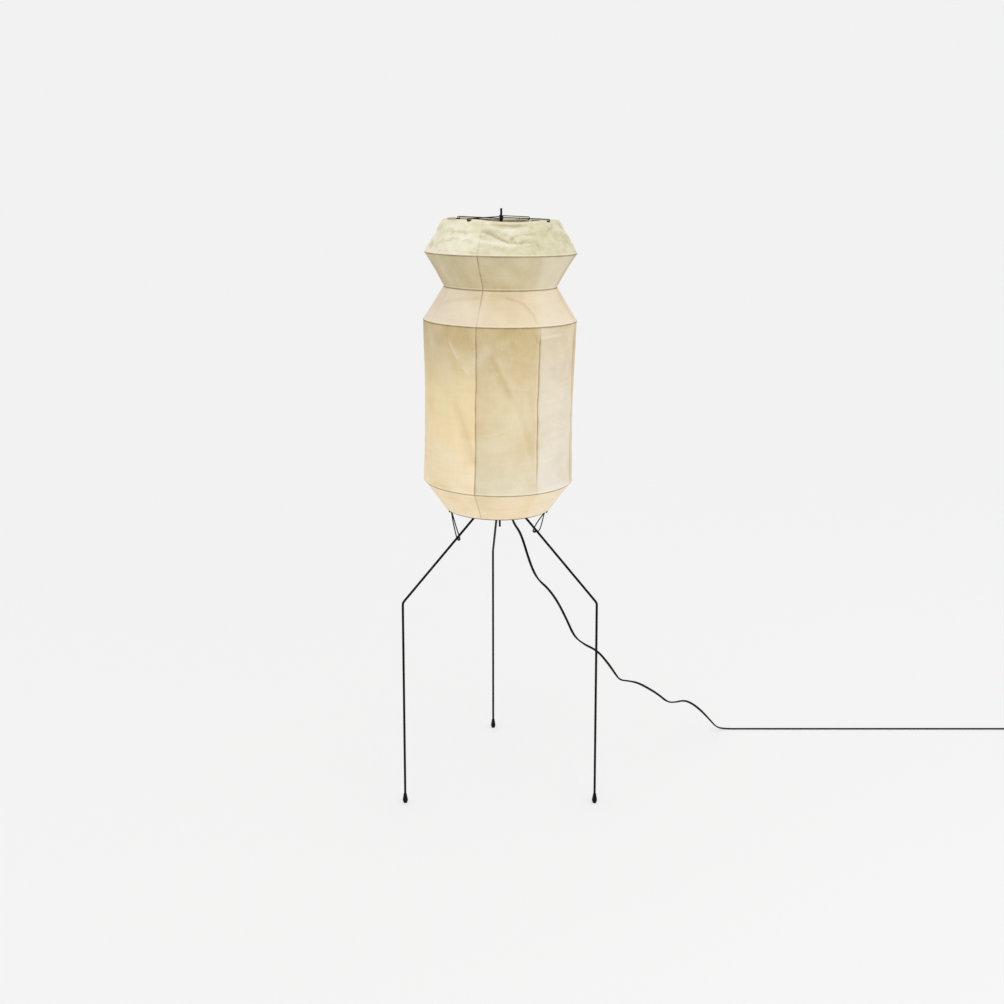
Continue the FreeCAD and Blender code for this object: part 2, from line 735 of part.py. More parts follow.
def make_holder():
    """The lampholder: cup, shell, liner, insulator, screw shell and centre contact."""
    stem = facing(polar(1, size("knob_azimuth")), Vector(0, 0, size("knob_height")))
    cup = turned("holder_cup_blank", HOLDER,
                 [("nipple_radius+weld_gap", "0"), ("holder_cup_floor_radius", "0"),
                  ("holder_radius", "holder_cup_taper"), ("holder_radius", "holder_cup_height"),
                  ("holder_radius-holder_wall", "holder_cup_height"),
                  ("holder_radius-holder_wall", "holder_cup_taper+holder_wall/2"),
                  ("holder_cup_floor_radius-holder_wall/2", "holder_wall"),
                  ("nipple_radius+weld_gap", "holder_wall")])
    pieces.remove(cup)
    hole = rod("knob_hole", HOLDER * stem, "knob_stem_radius+turning_clearance", "2*holder_radius")
    keep(cut("holder_cup", cup, hole), "holder_cup", Placement())
    turned("holder_shell", HOLDER * at(size("holder_cup_height")),
           [("holder_radius-holder_wall", "0"), ("holder_radius", "0"),
            ("holder_radius", "holder_shell_height-holder_bead_height"),
            ("holder_radius+holder_bead", "holder_shell_height-holder_bead_height/2"),
            ("holder_radius", "holder_shell_height"),
            ("holder_radius-holder_wall", "holder_shell_height")])
    seat = size("insulator_base") + size("insulator_height")
    rod_place = HOLDER * at(size("insulator_base"))
    puck = rod("socket_insulator", rod_place, "holder_radius-holder_wall-weld_gap", "insulator_height")
    keep(puck, "socket_insulator", rod_place)
    turned("holder_liner", HOLDER * at(seat),
           [("holder_radius-holder_wall-weld_gap-liner_wall", "0"), ("holder_radius-holder_wall-weld_gap", "0"),
            ("holder_radius-holder_wall-weld_gap", "holder_shell_height-liner_short"),
            ("holder_radius-holder_wall-weld_gap-liner_wall", "holder_shell_height-liner_short")])
    turned("socket_screw_shell", HOLDER * at(seat),
           [("screw_shell_radius-screw_shell_wall", "0"), ("screw_shell_radius", "0"),
            ("screw_shell_radius", "screw_shell_height"),
            ("screw_shell_radius-screw_shell_wall", "screw_shell_height")])
    keep(rod("centre_contact", Placement(), "contact_radius", "contact_height"), "centre_contact",
         HOLDER * at(seat))
    start = size("nipple_radius") + size("knob_stem_clearance")
    grip = size("holder_radius") + size("knob_stand_off")
    knob = joined("switch_knob", [
        rod("knob_stem", at(start), "knob_stem_radius", "holder_radius+knob_stand_off+knob_stem_clearance-nipple_radius"),
        rod("knob_grip", at(grip), "knob_radius", "knob_length")])
    keep(knob, "switch_knob", HOLDER * stem)
    turned("cord_bush", HOLDER * at(-size("nipple_below") - size("bush_length")),
           [("0", "0"), ("bush_end_radius", "0"), ("bush_top_radius", "bush_length-bush_collar_length"),
            ("bush_top_radius", "bush_length"), ("0", "bush_length")])


def make_bulb():
    """The bulb: a hollow pear of glass in a brass screw cap with its tip."""
    tip = size("insulator_base") + size("insulator_height") + size("contact_height") + size("weld_gap")
    cap = tip + size("bulb_tip_height")
    keep(rod("bulb_tip", Placement(), "bulb_tip_radius", "bulb_tip_height"), "bulb_tip", HOLDER * at(tip))
    keep(rod("bulb_cap", Placement(), "bulb_cap_radius", "bulb_cap_height"), "bulb_cap", HOLDER * at(cap))
    neck = cap + size("bulb_cap_height")
    centre = tip + size("bulb_length") - size("bulb_radius")
    share = size("bulb_touch_share")

    def pear(label, wall):
        """The glass's outside, or its inside where a wall is given."""
        globe = doc.addObject("Part::Sphere", f"{label}_globe")
        bind(globe, Radius=f"bulb_radius-{wall}")
        globe.Placement = at(centre)
        taper = doc.addObject("Part::Cone", f"{label}_neck")
        bind(taper, Radius1=f"bulb_cap_radius-{wall}",
             Radius2=f"bulb_radius*{math.sqrt(1 - share ** 2):.6f}-{wall}")
        taper.Height = centre - neck - share * size("bulb_radius")
        taper.Placement = at(neck)
        return joined(label, [globe, taper])

    glass = cut("bulb_glass", pear("bulb_outside", "0"), pear("bulb_inside", "bulb_glass_wall"))
    keep(glass, "bulb_glass", HOLDER)


# ---------------------------------------------------------------- the lead
def cord_radii(points):
    """Each arc's radius, as large as its two runs allow."""
    radii = []
    for before, point, after in zip(points, points[1:], points[2:]):
        half = (math.pi - (before - point).getAngle(after - point)) / 2
        radii.append(0.45 * min((before - point).Length, (after - point).Length) / math.tan(half))
    return radii


def cord_run(label, points):
    """One free stretch of the lead, with its radii printed."""
    radii = cord_radii(points)
    print(label, "radii", [round(radius) for radius in radii])
    if radii and min(radii) < SHARPEST_TURN * size("cord_diameter"):
        raise ValueError(f"{label} turns too sharply")
    path = route(points, radii) if radii else Part.Wire(Part.LineSegment(*points).toShape())
    print(label, "length", round(path.Length, 1))
    return formed(label, swept(path, size("cord_diameter")), STAND)


def biarc(start, start_heading, end, end_heading):
    """Two tangent arcs from one point and heading to another."""
    chord = end - start
    both = start_heading + end_heading
    square = 2 * (start_heading.dot(end_heading) - 1)
    linear = -2 * chord.dot(both)
    whole = chord.dot(chord)
    reach = (-linear - math.sqrt(linear ** 2 - 4 * square * whole)) / (2 * square)
    if reach < 0:
        reach = (-linear + math.sqrt(linear ** 2 - 4 * square * whole)) / (2 * square)
    joint = (start + end + (start_heading - end_heading) * reach) / 2
    edges = []
    for first, heading, last in ((start, start_heading, joint), (end, end_heading * -1, joint)):
        span = last - first
        angle = heading.getAngle(span)
        aside = (heading - span * (heading.dot(span) / span.dot(span))).normalize()
        halfway = first + span / 2 + aside * (span.Length / 2 * math.tan(angle / 2))
        ends = (first, halfway, last) if first is start else (last, halfway, first)
        edges.append(Part.Arc(*ends).toShape())
    return edges


def coil_reach(inward=0.0):
    """The radius of a turn that lies some turns inside the outermost one."""
    pitch = size("cord_diameter") + size("coil_gap")
    return size("coil_mean_radius") + pitch * (size("coil_turns") / 4 - inward)


def coil_rise():
    """The height of the upper layer over the lower one."""
    return size("cord_diameter") + size("coil_layer_gap")


def coil_point(turn, centre):
    """A point of the coil after some turns: inwards on the floor, a climb, then outwards."""
    turns = size("coil_turns")
    climb = min(max((turn - turns / 2) * 2 + 0.5, 0), 1)
    angle = math.radians(90) - 2 * math.pi * turn
    across = Vector(math.cos(angle), math.sin(angle), 0) * coil_reach(min(turn, turns - turn))
    return centre + across + Vector(0, 0, climb * coil_rise())


def make_coil(start):
    """The put-away length: one unbroken tube wound in two layers, from its start back over it."""
    centre = start - Vector(0, coil_reach(), 0)
    turns = int(size("coil_turns"))
    quarters = [index / 4 for index in range(4 * turns + 1)]
    spots = [coil_point(turn, centre) for turn in quarters]
    headings = []
    for turn in quarters:
        nudge = 0.02
        headings.append((coil_point(turn + nudge, centre) - coil_point(turn - nudge, centre)).normalize())
    headings[0] = headings[-1] = Vector(1, 0, 0)
    end = spots[-1] + Vector(size("cord_diameter"), 0, 0)
    lead_in = start - Vector(size("cord_diameter"), 0, 0)
    edges = [Part.LineSegment(lead_in, start).toShape()]
    for index in range(len(spots) - 1):
        edges += biarc(spots[index], headings[index], spots[index + 1], headings[index + 1])
    edges.append(Part.LineSegment(spots[-1], end).toShape())
    path = Part.Wire(edges)
    gap = least_self_gap(path)
    print("cord_coil length", round(path.Length, 1), "least gap to itself", round(gap, 2))
    if gap < 0.4:
        raise ValueError("the coil touches itself")
    formed("cord_coil", swept(path, size("cord_diameter")), STAND)
    return lead_in, end, centre


def least_self_gap(path):
    """The least clear distance between turns, measured on points along the centre line."""
    count = int(path.Length / 3)
    points = path.discretize(Number=count)
    apart = math.pi * size("cord_diameter")
    step = path.Length / (count - 1)
    skip = int(apart / step) + 1
    least = min((points[i] - points[j]).Length for i in range(count) for j in range(i + skip, count))
    return least - size("cord_diameter")


def make_lead():
    """The lead from the bush to the floor, along it, its coil with a tie, its tail and the plug."""
    rest = size("cord_diameter") / 2
    exit_point = STAND.inverse() * HOLDER * Vector(0, 0, -size("nipple_below") - size("bush_length"))
    hanging = [exit_point] + [Vector(*point) for point in HANGING_ROUTE]
    floor_point = Vector(FLOOR_POINT_REACH, LEAD_DEPTH, rest)
    split = floor_point + Vector(LEAD_SPLIT_RUN, 0, 0)
    cord_run("cord_hanging", hanging + [floor_point, split])
    lead_in, coil_end, centre = make_coil(Vector(COIL_REACH, LEAD_DEPTH, rest))
    cord_run("cord_floor", [split, lead_in])
    plug_middle = Vector(coil_end.x + PLUG_REACH, coil_end.y, size("plug_thickness") / 2)
    cord_run("cord_tail", [coil_end, coil_end + Vector(TAIL_REACH, 0, 0),
                           Vector(coil_end.x + 2 * TAIL_REACH, coil_end.y, plug_middle.z), plug_middle])
    make_tie(centre)
    make_plug(plug_middle)


def make_tie(centre):
    """A strap over the coil's turns, its two ends down beside them."""
    gap = size("tie_gap") + size("cord_diameter") / 2
    thick = size("tie_thickness")
    inner = coil_reach(size("coil_turns") / 2) - gap
    outer = coil_reach() + gap
    top = coil_rise() + size("cord_diameter") / 2 + gap
    width = size("tie_width")
    strap = block("strap", at(0, -width / 2, inner - thick), "tie_width", f"{outer - inner + 2 * thick}",
                  f"{top + thick}")
    room = block("strap_room", at(-thick, -width / 2 - thick, inner), "tie_width+2*tie_thickness",
                 f"{outer - inner}", f"{top + thick}")
    down = Placement(Vector(centre.x, centre.y, 0), Rotation(UP, 180))
    keep(cut("coil_tie", strap, room), "coil_tie", STAND * down)


def make_plug(entry):
    """A flat two-blade plug that lies on the floor."""
    half = size("plug_width") / 2
    box = block("plug_blank", Placement(), "plug_length", "plug_width", "plug_thickness")
    doc.recompute()
    rounded = doc.addObject("Part::Fillet", "plug_body")
    rounded.Base = box
    rounding = size("plug_rounding")
    rounded.Edges = [(index, rounding, rounding) for index, edge in enumerate(box.Shape.Edges, start=1)
                     if abs(edge.tangentAt(edge.FirstParameter).x) > 0.9]
    place = STAND * Placement(Vector(entry.x, entry.y - half, 0), Rotation())
    keep(rounded, "plug_body", place)
    blades = doc.addObject("Part::Compound", "plug_blades")
    low = size("plug_thickness") / 2 - size("blade_width") / 2
    blades.Links = [
        block("blade", at(low, size("plug_length"), half + side * size("blade_spacing") / 2
                          - size("blade_thickness") / 2),
              "blade_length", "blade_thickness", "blade_width") for side in (-1, 1)]
    keep(blades, "plug_blades", place)


# ---------------------------------------------------------------- all of it
def check_and_write():
    """Stop at any failed object or bad shape, then write each piece to its own file."""
    doc.recompute()
    for thing in doc.Objects:
        if "Invalid" in thing.State or "Error" in thing.State:
            raise ValueError(f"{thing.Label} failed: {thing.State}")
    os.makedirs("parts", exist_ok=True)
    for piece in pieces:
        if piece.Shape.isNull() or not piece.Shape.isValid():
            raise ValueError(f"{piece.Label} has no good shape")
        piece.Shape.exportStep(f"parts/{piece.Label}.step")
        print(f"{piece.Label:22s} {len(piece.Shape.Solids)} solid  {piece.Shape.Volume:12.1f} mm3")


make_lantern()
make_cross()
make_post()
make_legs()
make_hub()
make_clips()
make_bracket()
make_holder()
make_bulb()
make_lead()
check_and_write()
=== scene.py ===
"""Paper lantern floor lamp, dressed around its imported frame.

A waisted washi lantern hangs from a thin steel post by a cross of wires. Three wire clips hold it
down to a stand of bent rods, and a flat black lead falls from the lampholder inside it.

Sizes are millimetres unless a name says otherwise, and azimuths are degrees from +X towards +Y.
Each mesh is made in the frame of what carries it and brought to metres in the row frame at the end.
"""

import logging
import math
from dataclasses import dataclass
from enum import Enum
from functools import cached_property
from typing import Callable, Iterable, Sequence

import bmesh
import bpy
from mathutils import Matrix, Vector, noise

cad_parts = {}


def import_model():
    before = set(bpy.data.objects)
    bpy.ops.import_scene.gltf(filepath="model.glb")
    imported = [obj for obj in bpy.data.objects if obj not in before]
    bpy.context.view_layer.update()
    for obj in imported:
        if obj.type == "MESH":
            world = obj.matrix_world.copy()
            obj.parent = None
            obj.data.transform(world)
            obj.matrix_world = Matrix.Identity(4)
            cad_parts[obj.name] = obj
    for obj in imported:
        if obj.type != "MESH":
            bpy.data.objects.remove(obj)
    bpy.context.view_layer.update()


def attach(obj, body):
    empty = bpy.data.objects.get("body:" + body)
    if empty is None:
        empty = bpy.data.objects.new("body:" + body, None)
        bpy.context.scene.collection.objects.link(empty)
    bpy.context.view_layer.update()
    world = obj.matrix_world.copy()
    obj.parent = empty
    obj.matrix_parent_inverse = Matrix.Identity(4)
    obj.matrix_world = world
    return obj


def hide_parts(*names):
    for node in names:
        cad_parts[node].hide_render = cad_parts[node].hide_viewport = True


log = logging.getLogger("lantern_lamp")

MM = 0.001
FULL_TURN = 2 * math.pi

# The places that the pieces share with the frame.
POST_FOOT = Vector((0.2362, -49.5354, 0.0))
HUB_HEIGHT = 767.0
POST_LEAN = 0.28
CROSS_HEIGHT = 1407.6
LANTERN_LEAN = 0.47
HOLDER_OFFSET = 36.0
HOLDER_AZIMUTH = 45.0
HOLDER_HEIGHT = 838.0


def polar(reach: float, azimuth: float, height: float = 0.0) -> Vector:
    """The point at a reach, an azimuth in degrees and a height."""
    turn = math.radians(azimuth)
    return Vector((reach * math.cos(turn), reach * math.sin(turn), height))


def lean_about(height: float, angle: float) -> Matrix:
    """A lean of some degrees towards +X about the centre line at a height."""
    pivot = Matrix.Translation((0, 0, height))
    return pivot @ Matrix.Rotation(math.radians(angle), 4, "Y") @ pivot.inverted()


STAND = Matrix.Translation(POST_FOOT)
POST = STAND @ lean_about(HUB_HEIGHT, POST_LEAN)
LANTERN = POST @ lean_about(CROSS_HEIGHT, LANTERN_LEAN)
HOLDER = POST @ Matrix.Translation(polar(HOLDER_OFFSET, HOLDER_AZIMUTH, HOLDER_HEIGHT))


def smooth_step(value: float) -> float:
    """A share from 0 to 1 with level ends, for any value."""
    share = min(max(value, 0.0), 1.0)
    return share * share * (3 - 2 * share)


def mixed(first: Sequence[float], second: Sequence[float], share: float) -> tuple[float, ...]:
    """Two colours or points mixed by a share of the second."""
    return tuple(a + (b - a) * share for a, b in zip(first, second))


def linear(code: str) -> tuple[float, float, float, float]:
    """Turn an sRGB hex colour to linear.

    Args:
        code: The colour as "#rrggbb".

    Returns:
        Red, green and blue from 0 to 1, and an alpha of 1.
    """
    values = [int(code[start:start + 2], 16) / 255 for start in (1, 3, 5)]
    red, green, blue = ((v / 12.92 if v <= 0.04045 else ((v + 0.055) / 1.055) ** 2.4) for v in values)
    return red, green, blue, 1.0


# ---------------------------------------------------------------- materials
def add_node(tree: bpy.types.NodeTree, kind: str, inputs: dict | None = None,
             **settings: object) -> bpy.types.Node:
    """Add a node with its settings and links.

    Args:
        tree: The node tree that it joins.
        kind: The node's class name.
        inputs: Each input's value, or the output that feeds it.
        settings: The node's own properties.

    Returns:
        The new node.
    """
    node = tree.nodes.new(kind)
    for name, value in settings.items():
        setattr(node, name, value)
    for key, value in (inputs or {}).items():
        if isinstance(value, bpy.types.NodeSocket):
            tree.links.new(value, node.inputs[key])
        else:
            node.inputs[key].default_value = value
    return node


@dataclass(frozen=True)
class Finish:
    """A plain finish: its colour clouded at one scale, with a grain of its own size.

    The cloud is where handling, dust and wear lift or dull the colour, and the grain is the
    roughness that the surface was left with when it was made.
    """

    name: str
    colour: str
    cloud_colour: str
    roughness: float
    roughness_swing: float = 0.08
    metallic: float = 0.0
    coat: float = 0.0
    specular: float = 0.5
    cloud_mm: float = 30.0
    grain_mm: float = 0.8
    grain_depth_mm: float = 0.03
    stretch: tuple[float, float, float] = (1.0, 1.0, 1.0)

    def material(self) -> bpy.types.Material:
        """Make the finish's material once, and give it back after that.

        Returns:
            The material.
        """
        if self.name in bpy.data.materials:
            return bpy.data.materials[self.name]
        made = bpy.data.materials.new(self.name)
        made.use_nodes = True
        tree = made.node_tree
        shader = tree.nodes["Principled BSDF"]
        shader.inputs["Metallic"].default_value = self.metallic
        shader.inputs["Coat Weight"].default_value = self.coat
        shader.inputs["Specular IOR Level"].default_value = self.specular
        self.dress(tree, shader)
        return made

    def dress(self, tree: bpy.types.NodeTree, shader: bpy.types.Node) -> None:
        """Link the colour's cloud, the roughness and the grain to the shader.

        Args:
            tree: The material's node tree.
            shader: Its principled shader.
        """
        place = add_node(tree, "ShaderNodeTexCoord").outputs["Object"]
        place = add_node(tree, "ShaderNodeMapping",
                         {"Vector": place, "Scale": self.stretch}).outputs["Vector"]
        cloud = add_node(tree, "ShaderNodeTexNoise",
                         {"Vector": place, "Scale": 1 / (self.cloud_mm * MM), "Detail": 4.0})
        grain = add_node(tree, "ShaderNodeTexNoise",
                         {"Vector": place, "Scale": 1 / (self.grain_mm * MM), "Detail": 2.0})
        colour = add_node(tree, "ShaderNodeMix",
                          {"Factor": cloud.outputs["Fac"], "A": linear(self.colour),
                           "B": linear(self.cloud_colour)}, data_type="RGBA")
        rough = add_node(tree, "ShaderNodeMapRange",
                         {"Value": cloud.outputs["Fac"], "From Min": 0.3, "From Max": 0.7,
                          "To Min": self.roughness - self.roughness_swing,
                          "To Max": self.roughness + self.roughness_swing})
        bump = add_node(tree, "ShaderNodeBump",
                        {"Height": grain.outputs["Fac"], "Strength": 1.0,
                         "Distance": self.grain_depth_mm * MM})
        tree.links.new(colour.outputs["Result"], shader.inputs["Base Color"])
        tree.links.new(rough.outputs["Result"], shader.inputs["Roughness"])
        tree.links.new(bump.outputs["Normal"], shader.inputs["Normal"])


@dataclass(frozen=True)
class WashiPaper(Finish):
    """Handmade kozo paper, formed on a laid screen and waxed by age.

    Long fibres cross it, paler and darker than the sheet, over the screen's fine level lines. Its
    tone comes from the mesh's own colour attribute, which holds the gores' dye lots, the folds' glue
    lines, the glued seams, and painted shade and highlights on the crumples, folds and seams.
    """

    fibre_mm: float = 26.0
    fibre_share: float = 0.075
    fibre_depth_mm: float = 0.12
    dark_fibre_share: float = 0.06
    dark_fibre_colour: str = "#8f7a4f"
    laid_mm: float = 2.4
    laid_share: float = 0.02
    laid_colour: str = "#a8935f"
    mottle_mm: float = 42.0
    mottle_share: float = 0.22
    wrinkle_mm: float = 7.0
    wrinkle_depth_mm: float = 0.5

    def dress(self, tree: bpy.types.NodeTree, shader: bpy.types.Node) -> None:
        """Link tone, mottle, fibres, laid lines and fine wrinkles.

        Args:
            tree: The material's node tree.
            shader: Its principled shader.
        """
        place = add_node(tree, "ShaderNodeTexCoord").outputs["Object"]
        mottle = add_node(tree, "ShaderNodeTexNoise",
                          {"Vector": place, "Scale": 1 / (self.mottle_mm * MM), "Detail": 5.0,
                           "Roughness": 0.62})
        cloud = add_node(tree, "ShaderNodeMapRange",
                         {"Value": mottle.outputs["Fac"], "From Min": 0.35, "From Max": 0.68})
        fibres = []
        for turn, seed in ((25.0, 0.0), (-40.0, 3.1), (80.0, 7.7)):
            slanted = add_node(tree, "ShaderNodeMapping",
                               {"Vector": place, "Location": (seed, seed, seed),
                                "Rotation": (math.radians(turn), math.radians(turn), 0.0),
                                "Scale": (1.0, 1.0, 0.07)})
            strand = add_node(tree, "ShaderNodeTexNoise",
                              {"Vector": slanted.outputs["Vector"], "Scale": 14 / (self.fibre_mm * MM),
                               "Detail": 1.0, "Distortion": 0.4})
            fibres.append(add_node(tree, "ShaderNodeMapRange",
                                   {"Value": strand.outputs["Fac"], "From Min": 0.60,
                                    "From Max": 0.72}).outputs["Result"])
        pale = add_node(tree, "ShaderNodeMath", {0: fibres[0], 1: fibres[1]},
                        operation="MAXIMUM").outputs["Value"]
        laid = add_node(tree, "ShaderNodeTexWave",
                        {"Vector": place, "Scale": 1 / (self.laid_mm * MM * FULL_TURN), "Distortion": 1.2,
                         "Detail": 2.0, "Detail Scale": 0.4}, bands_direction="Z")
        tone = add_node(tree, "ShaderNodeAttribute", attribute_name="Tone").outputs["Color"]
        for mask, share, colour in ((cloud.outputs["Result"], self.mottle_share, self.cloud_colour),
                                    (pale, self.fibre_share, self.colour),
                                    (fibres[2], self.dark_fibre_share, self.dark_fibre_colour),
                                    (laid.outputs["Fac"], self.laid_share, self.laid_colour)):
            part = add_node(tree, "ShaderNodeMath", {0: mask, 1: share}, operation="MULTIPLY")
            layer = add_node(tree, "ShaderNodeMix", {"Factor": part.outputs["Value"], "A": tone,
                                                     "B": linear(colour)}, data_type="RGBA")
            tone = layer.outputs["Result"]
        fine = add_node(tree, "ShaderNodeTexNoise",
                        {"Vector": place, "Scale": 1 / (self.wrinkle_mm * MM), "Detail": 6.0,
                         "Roughness": 0.6})
        bump = add_node(tree, "ShaderNodeBump",
                        {"Height": fine.outputs["Fac"], "Strength": 0.7,
                         "Distance": self.wrinkle_depth_mm * MM})
        fuzz = add_node(tree, "ShaderNodeBump",
                        {"Height": pale, "Strength": 0.5, "Distance": self.fibre_depth_mm * MM,
                         "Normal": bump.outputs["Normal"]})
        tree.links.new(tone, shader.inputs["Base Color"])
        tree.links.new(fuzz.outputs["Normal"], shader.inputs["Normal"])
        shader.inputs["Roughness"].default_value = self.roughness


@dataclass(frozen=True)
class OpalGlass(Finish):
    """Blown soda-lime glass, white inside: glossy outside, and milky all through."""

    def dress(self, tree: bpy.types.NodeTree, shader: bpy.types.Node) -> None:
        """Add the milky depth under the plain cloud and gloss.

        Args:
            tree: The material's node tree.
            shader: Its principled shader.
        """
        super().dress(tree, shader)
        shader.inputs["Subsurface Weight"].default_value = 0.3
        shader.inputs["Subsurface Scale"].default_value = 4 * MM
        shader.inputs["IOR"].default_value = 1.52


# Kozo washi: fibrous, matt, warm cream.
WASHI = WashiPaper("washi_kozo_paper", "#fbf3da", "#f3e6c6", roughness=0.82, specular=0.25)
# Mild steel rod, sprayed with black enamel: an even satin skin with a faint orange peel.
STEEL_ENAMEL = Finish("steel_rod_sprayed_black_enamel", "#050505", "#0c0b0b", 0.5, specular=0.12,
                      cloud_mm=18, grain_mm=1.6, grain_depth_mm=0.02)
# Annealed iron wire, blackened in oil: dark, with brown where the black has rubbed thin.
BLACK_WIRE = Finish("iron_wire_oil_blackened", "#080706", "#1d1611", 0.5, metallic=0.3, specular=0.12,
                    cloud_mm=9, grain_mm=0.6, grain_depth_mm=0.015)
# The ring wire in the folds: the same iron, browned by the paste.
RING_WIRE = Finish("iron_wire_browned_by_paste", "#2a1d12", "#47331f", 0.6, metallic=0.3, specular=0.2,
                   cloud_mm=7, grain_mm=0.6, grain_depth_mm=0.02)
# Natural rubber ferrule, moulded: matt, dusty at its sole.
FERRULE_RUBBER = Finish("rubber_ferrule_moulded", "#0a0a0a", "#161514", 0.78, specular=0.15, cloud_mm=8,
                        grain_mm=0.7, grain_depth_mm=0.05)
# Pressed steel, bright zinc plated: pale grey with a slight blue cloud.
ZINC_STEEL = Finish("steel_pressed_zinc_plated", "#b9bbbd", "#9fa3a8", 0.34, metallic=1.0, cloud_mm=6,
                    grain_mm=0.5, grain_depth_mm=0.01)
# Turned steel screw, blued: the knurl holds a little oil.
KNURLED_STEEL = Finish("steel_turned_and_blued", "#5b5d61", "#3c3e42", 0.38, metallic=1.0, cloud_mm=4,
                       grain_mm=0.4, grain_depth_mm=0.01)
# Compression-moulded phenolic: near black, glossy, with a faint brown flow cloud.
PHENOLIC = Finish("phenolic_moulded_black", "#17130f", "#2a211a", 0.24, cloud_mm=11, grain_mm=2.0,
                  grain_depth_mm=0.02, coat=0.3)
# Glazed electrical porcelain: cold white, glossy.
PORCELAIN = Finish("porcelain_glazed", "#e8e5dc", "#f4f2ec", 0.16, cloud_mm=9, grain_mm=3.0,
                   grain_depth_mm=0.02, coat=0.5)
# Rolled fibre board liner: brown, matt, layered.
FIBRE_LINER = Finish("fibre_board_rolled", "#6b5038", "#866849", 0.85, cloud_mm=5, grain_mm=0.5,
                     grain_depth_mm=0.06)
# Drawn brass, lacquer long gone: warm, dulled in patches.
BRASS = Finish("brass_drawn", "#c7a256", "#9d7c3e", 0.32, metallic=1.0, cloud_mm=4, grain_mm=0.4,
               grain_depth_mm=0.01)
# Rolled aluminium screw cap: soft grey-white with rolling streaks.
CAP_METAL = Finish("aluminium_rolled_cap", "#c9cacb", "#aeb0b2", 0.36, metallic=1.0, cloud_mm=5,
                   grain_mm=0.5, grain_depth_mm=0.01, stretch=(1, 1, 6))
BULB_GLASS = OpalGlass("glass_blown_opal", "#f3f1ea", "#faf8f2", 0.14, cloud_mm=22, grain_mm=9,
                       grain_depth_mm=0.02)
# Extruded PVC, black: satin, with the die's faint drag.
LEAD_PVC = Finish("pvc_cord_extruded_black", "#060606", "#0e0e0d", 0.5, specular=0.15, cloud_mm=14,
                  grain_mm=0.9, grain_depth_mm=0.02)
# Moulded PVC plug: the mould's fine spark-erosion texture.
PLUG_PVC = Finish("pvc_plug_moulded_black", "#161617", "#1f1f1f", 0.52, cloud_mm=9, grain_mm=0.5,
                  grain_depth_mm=0.04)
# Moulded rubber bush: matt and slightly bloomed.
BUSH_RUBBER = Finish("rubber_bush_moulded", "#141414", "#232322", 0.7, cloud_mm=6, grain_mm=0.6,
                     grain_depth_mm=0.04)
# Hook-and-loop band: a short fuzzy pile.
TIE_PILE = Finish("nylon_loop_pile_band", "#1c1c1e", "#2c2c2e", 0.95, cloud_mm=1.4, grain_mm=0.7,
                  grain_depth_mm=0.35)


# ---------------------------------------------------------------- making pieces
def register(name: str, work: bmesh.types.BMesh, place: Matrix, finish: Finish, body: str,
             nodes: Iterable[str] = (), sharp: float | None = 35.0,
             before: Callable[[bpy.types.Object], None] | None = None) -> bpy.types.Object:
    """Turn a bmesh into a finished piece at the origin, on its body.

    Args:
        name: The piece's name.
        work: The mesh in millimetres in the frame of what carries it. It is freed.
        place: That frame in the row frame.
        finish: What it is made of.
        body: The body that it rides on.
        nodes: The frame's nodes that it stands for.
        sharp: The angle in degrees past which an edge is sharp, or None for all smooth.
        before: What is done to the object before it rides, such as modifiers.

    Returns:
        The object.
    """
    bmesh.ops.transform(work, matrix=Matrix.Scale(MM, 4) @ place, verts=work.verts)
    mesh = bpy.data.meshes.new(name)
    work.to_mesh(mesh)
    work.free()
    mesh.shade_smooth()
    if sharp is not None:
        mesh.set_sharp_from_angle(angle=math.radians(sharp))
    piece = bpy.data.objects.new(name, mesh)
    bpy.context.scene.collection.objects.link(piece)
    mesh.materials.append(finish.material())
    if before:
        before(piece)
    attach(piece, body)
    if nodes:
        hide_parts(*nodes)
    log.info("%s: %d faces on %s", name, len(mesh.polygons), body)
    return piece


def dress_node(node: str, finish: Finish) -> None:
    """Give a node that keeps its own shape its finish.

    Args:
        node: The node's name.
        finish: What it is made of.
    """
    part = bpy.data.objects[node]
    made = finish.material()
    if not part.data.materials:
        part.data.materials.append(made)
    for index in range(len(part.material_slots)):
        part.material_slots[index].material = made
    log.info("%s: dressed in %s", node, finish.name)


def turned_profile(corners: Sequence[tuple[float, float]], steps: int = 48) -> bmesh.types.BMesh:
    """Spin an open or closed outline of (radius, height) about Z.

    Args:
        corners: The outline, from its start to its end.
        steps: How many facets the turn has.

    Returns:
        The spun mesh, merged and facing outwards.
    """
    work = bmesh.new()
    spots = [work.verts.new((radius, 0, height)) for radius, height in corners]
    edges = [work.edges.new(pair) for pair in zip(spots, spots[1:])]
    bmesh.ops.spin(work, geom=spots + edges, cent=(0, 0, 0), axis=(0, 0, 1), angle=FULL_TURN,
                   steps=steps, use_merge=True)
    bmesh.ops.remove_doubles(work, verts=work.verts, dist=1e-4)
    bmesh.ops.recalc_face_normals(work, faces=work.faces)
    return work


def smooth_line(points: Sequence[Vector]) -> list[Vector]:
    """Lay a smooth spline by its control points.

    Args:
        points: The control points.

    Returns:
        The points along the spline, from the first control point to the last.
    """
    curve = bpy.data.curves.new("line", "CURVE")
    curve.dimensions = "3D"
    spline = curve.splines.new("NURBS")
    spline.points.add(len(points) - 1)
    for spot, point in zip(spline.points, points):
        spot.co = (*point, 1.0)
    spline.order_u = 3
    spline.use_endpoint_u = True
    spline.resolution_u = 8
    carrier = bpy.data.objects.new("line", curve)
    line = bpy.data.meshes.new_from_object(carrier)
    found = [vertex.co.copy() for vertex in line.vertices]
    bpy.data.objects.remove(carrier)
    bpy.data.curves.remove(curve)
    bpy.data.meshes.remove(line)
    return found


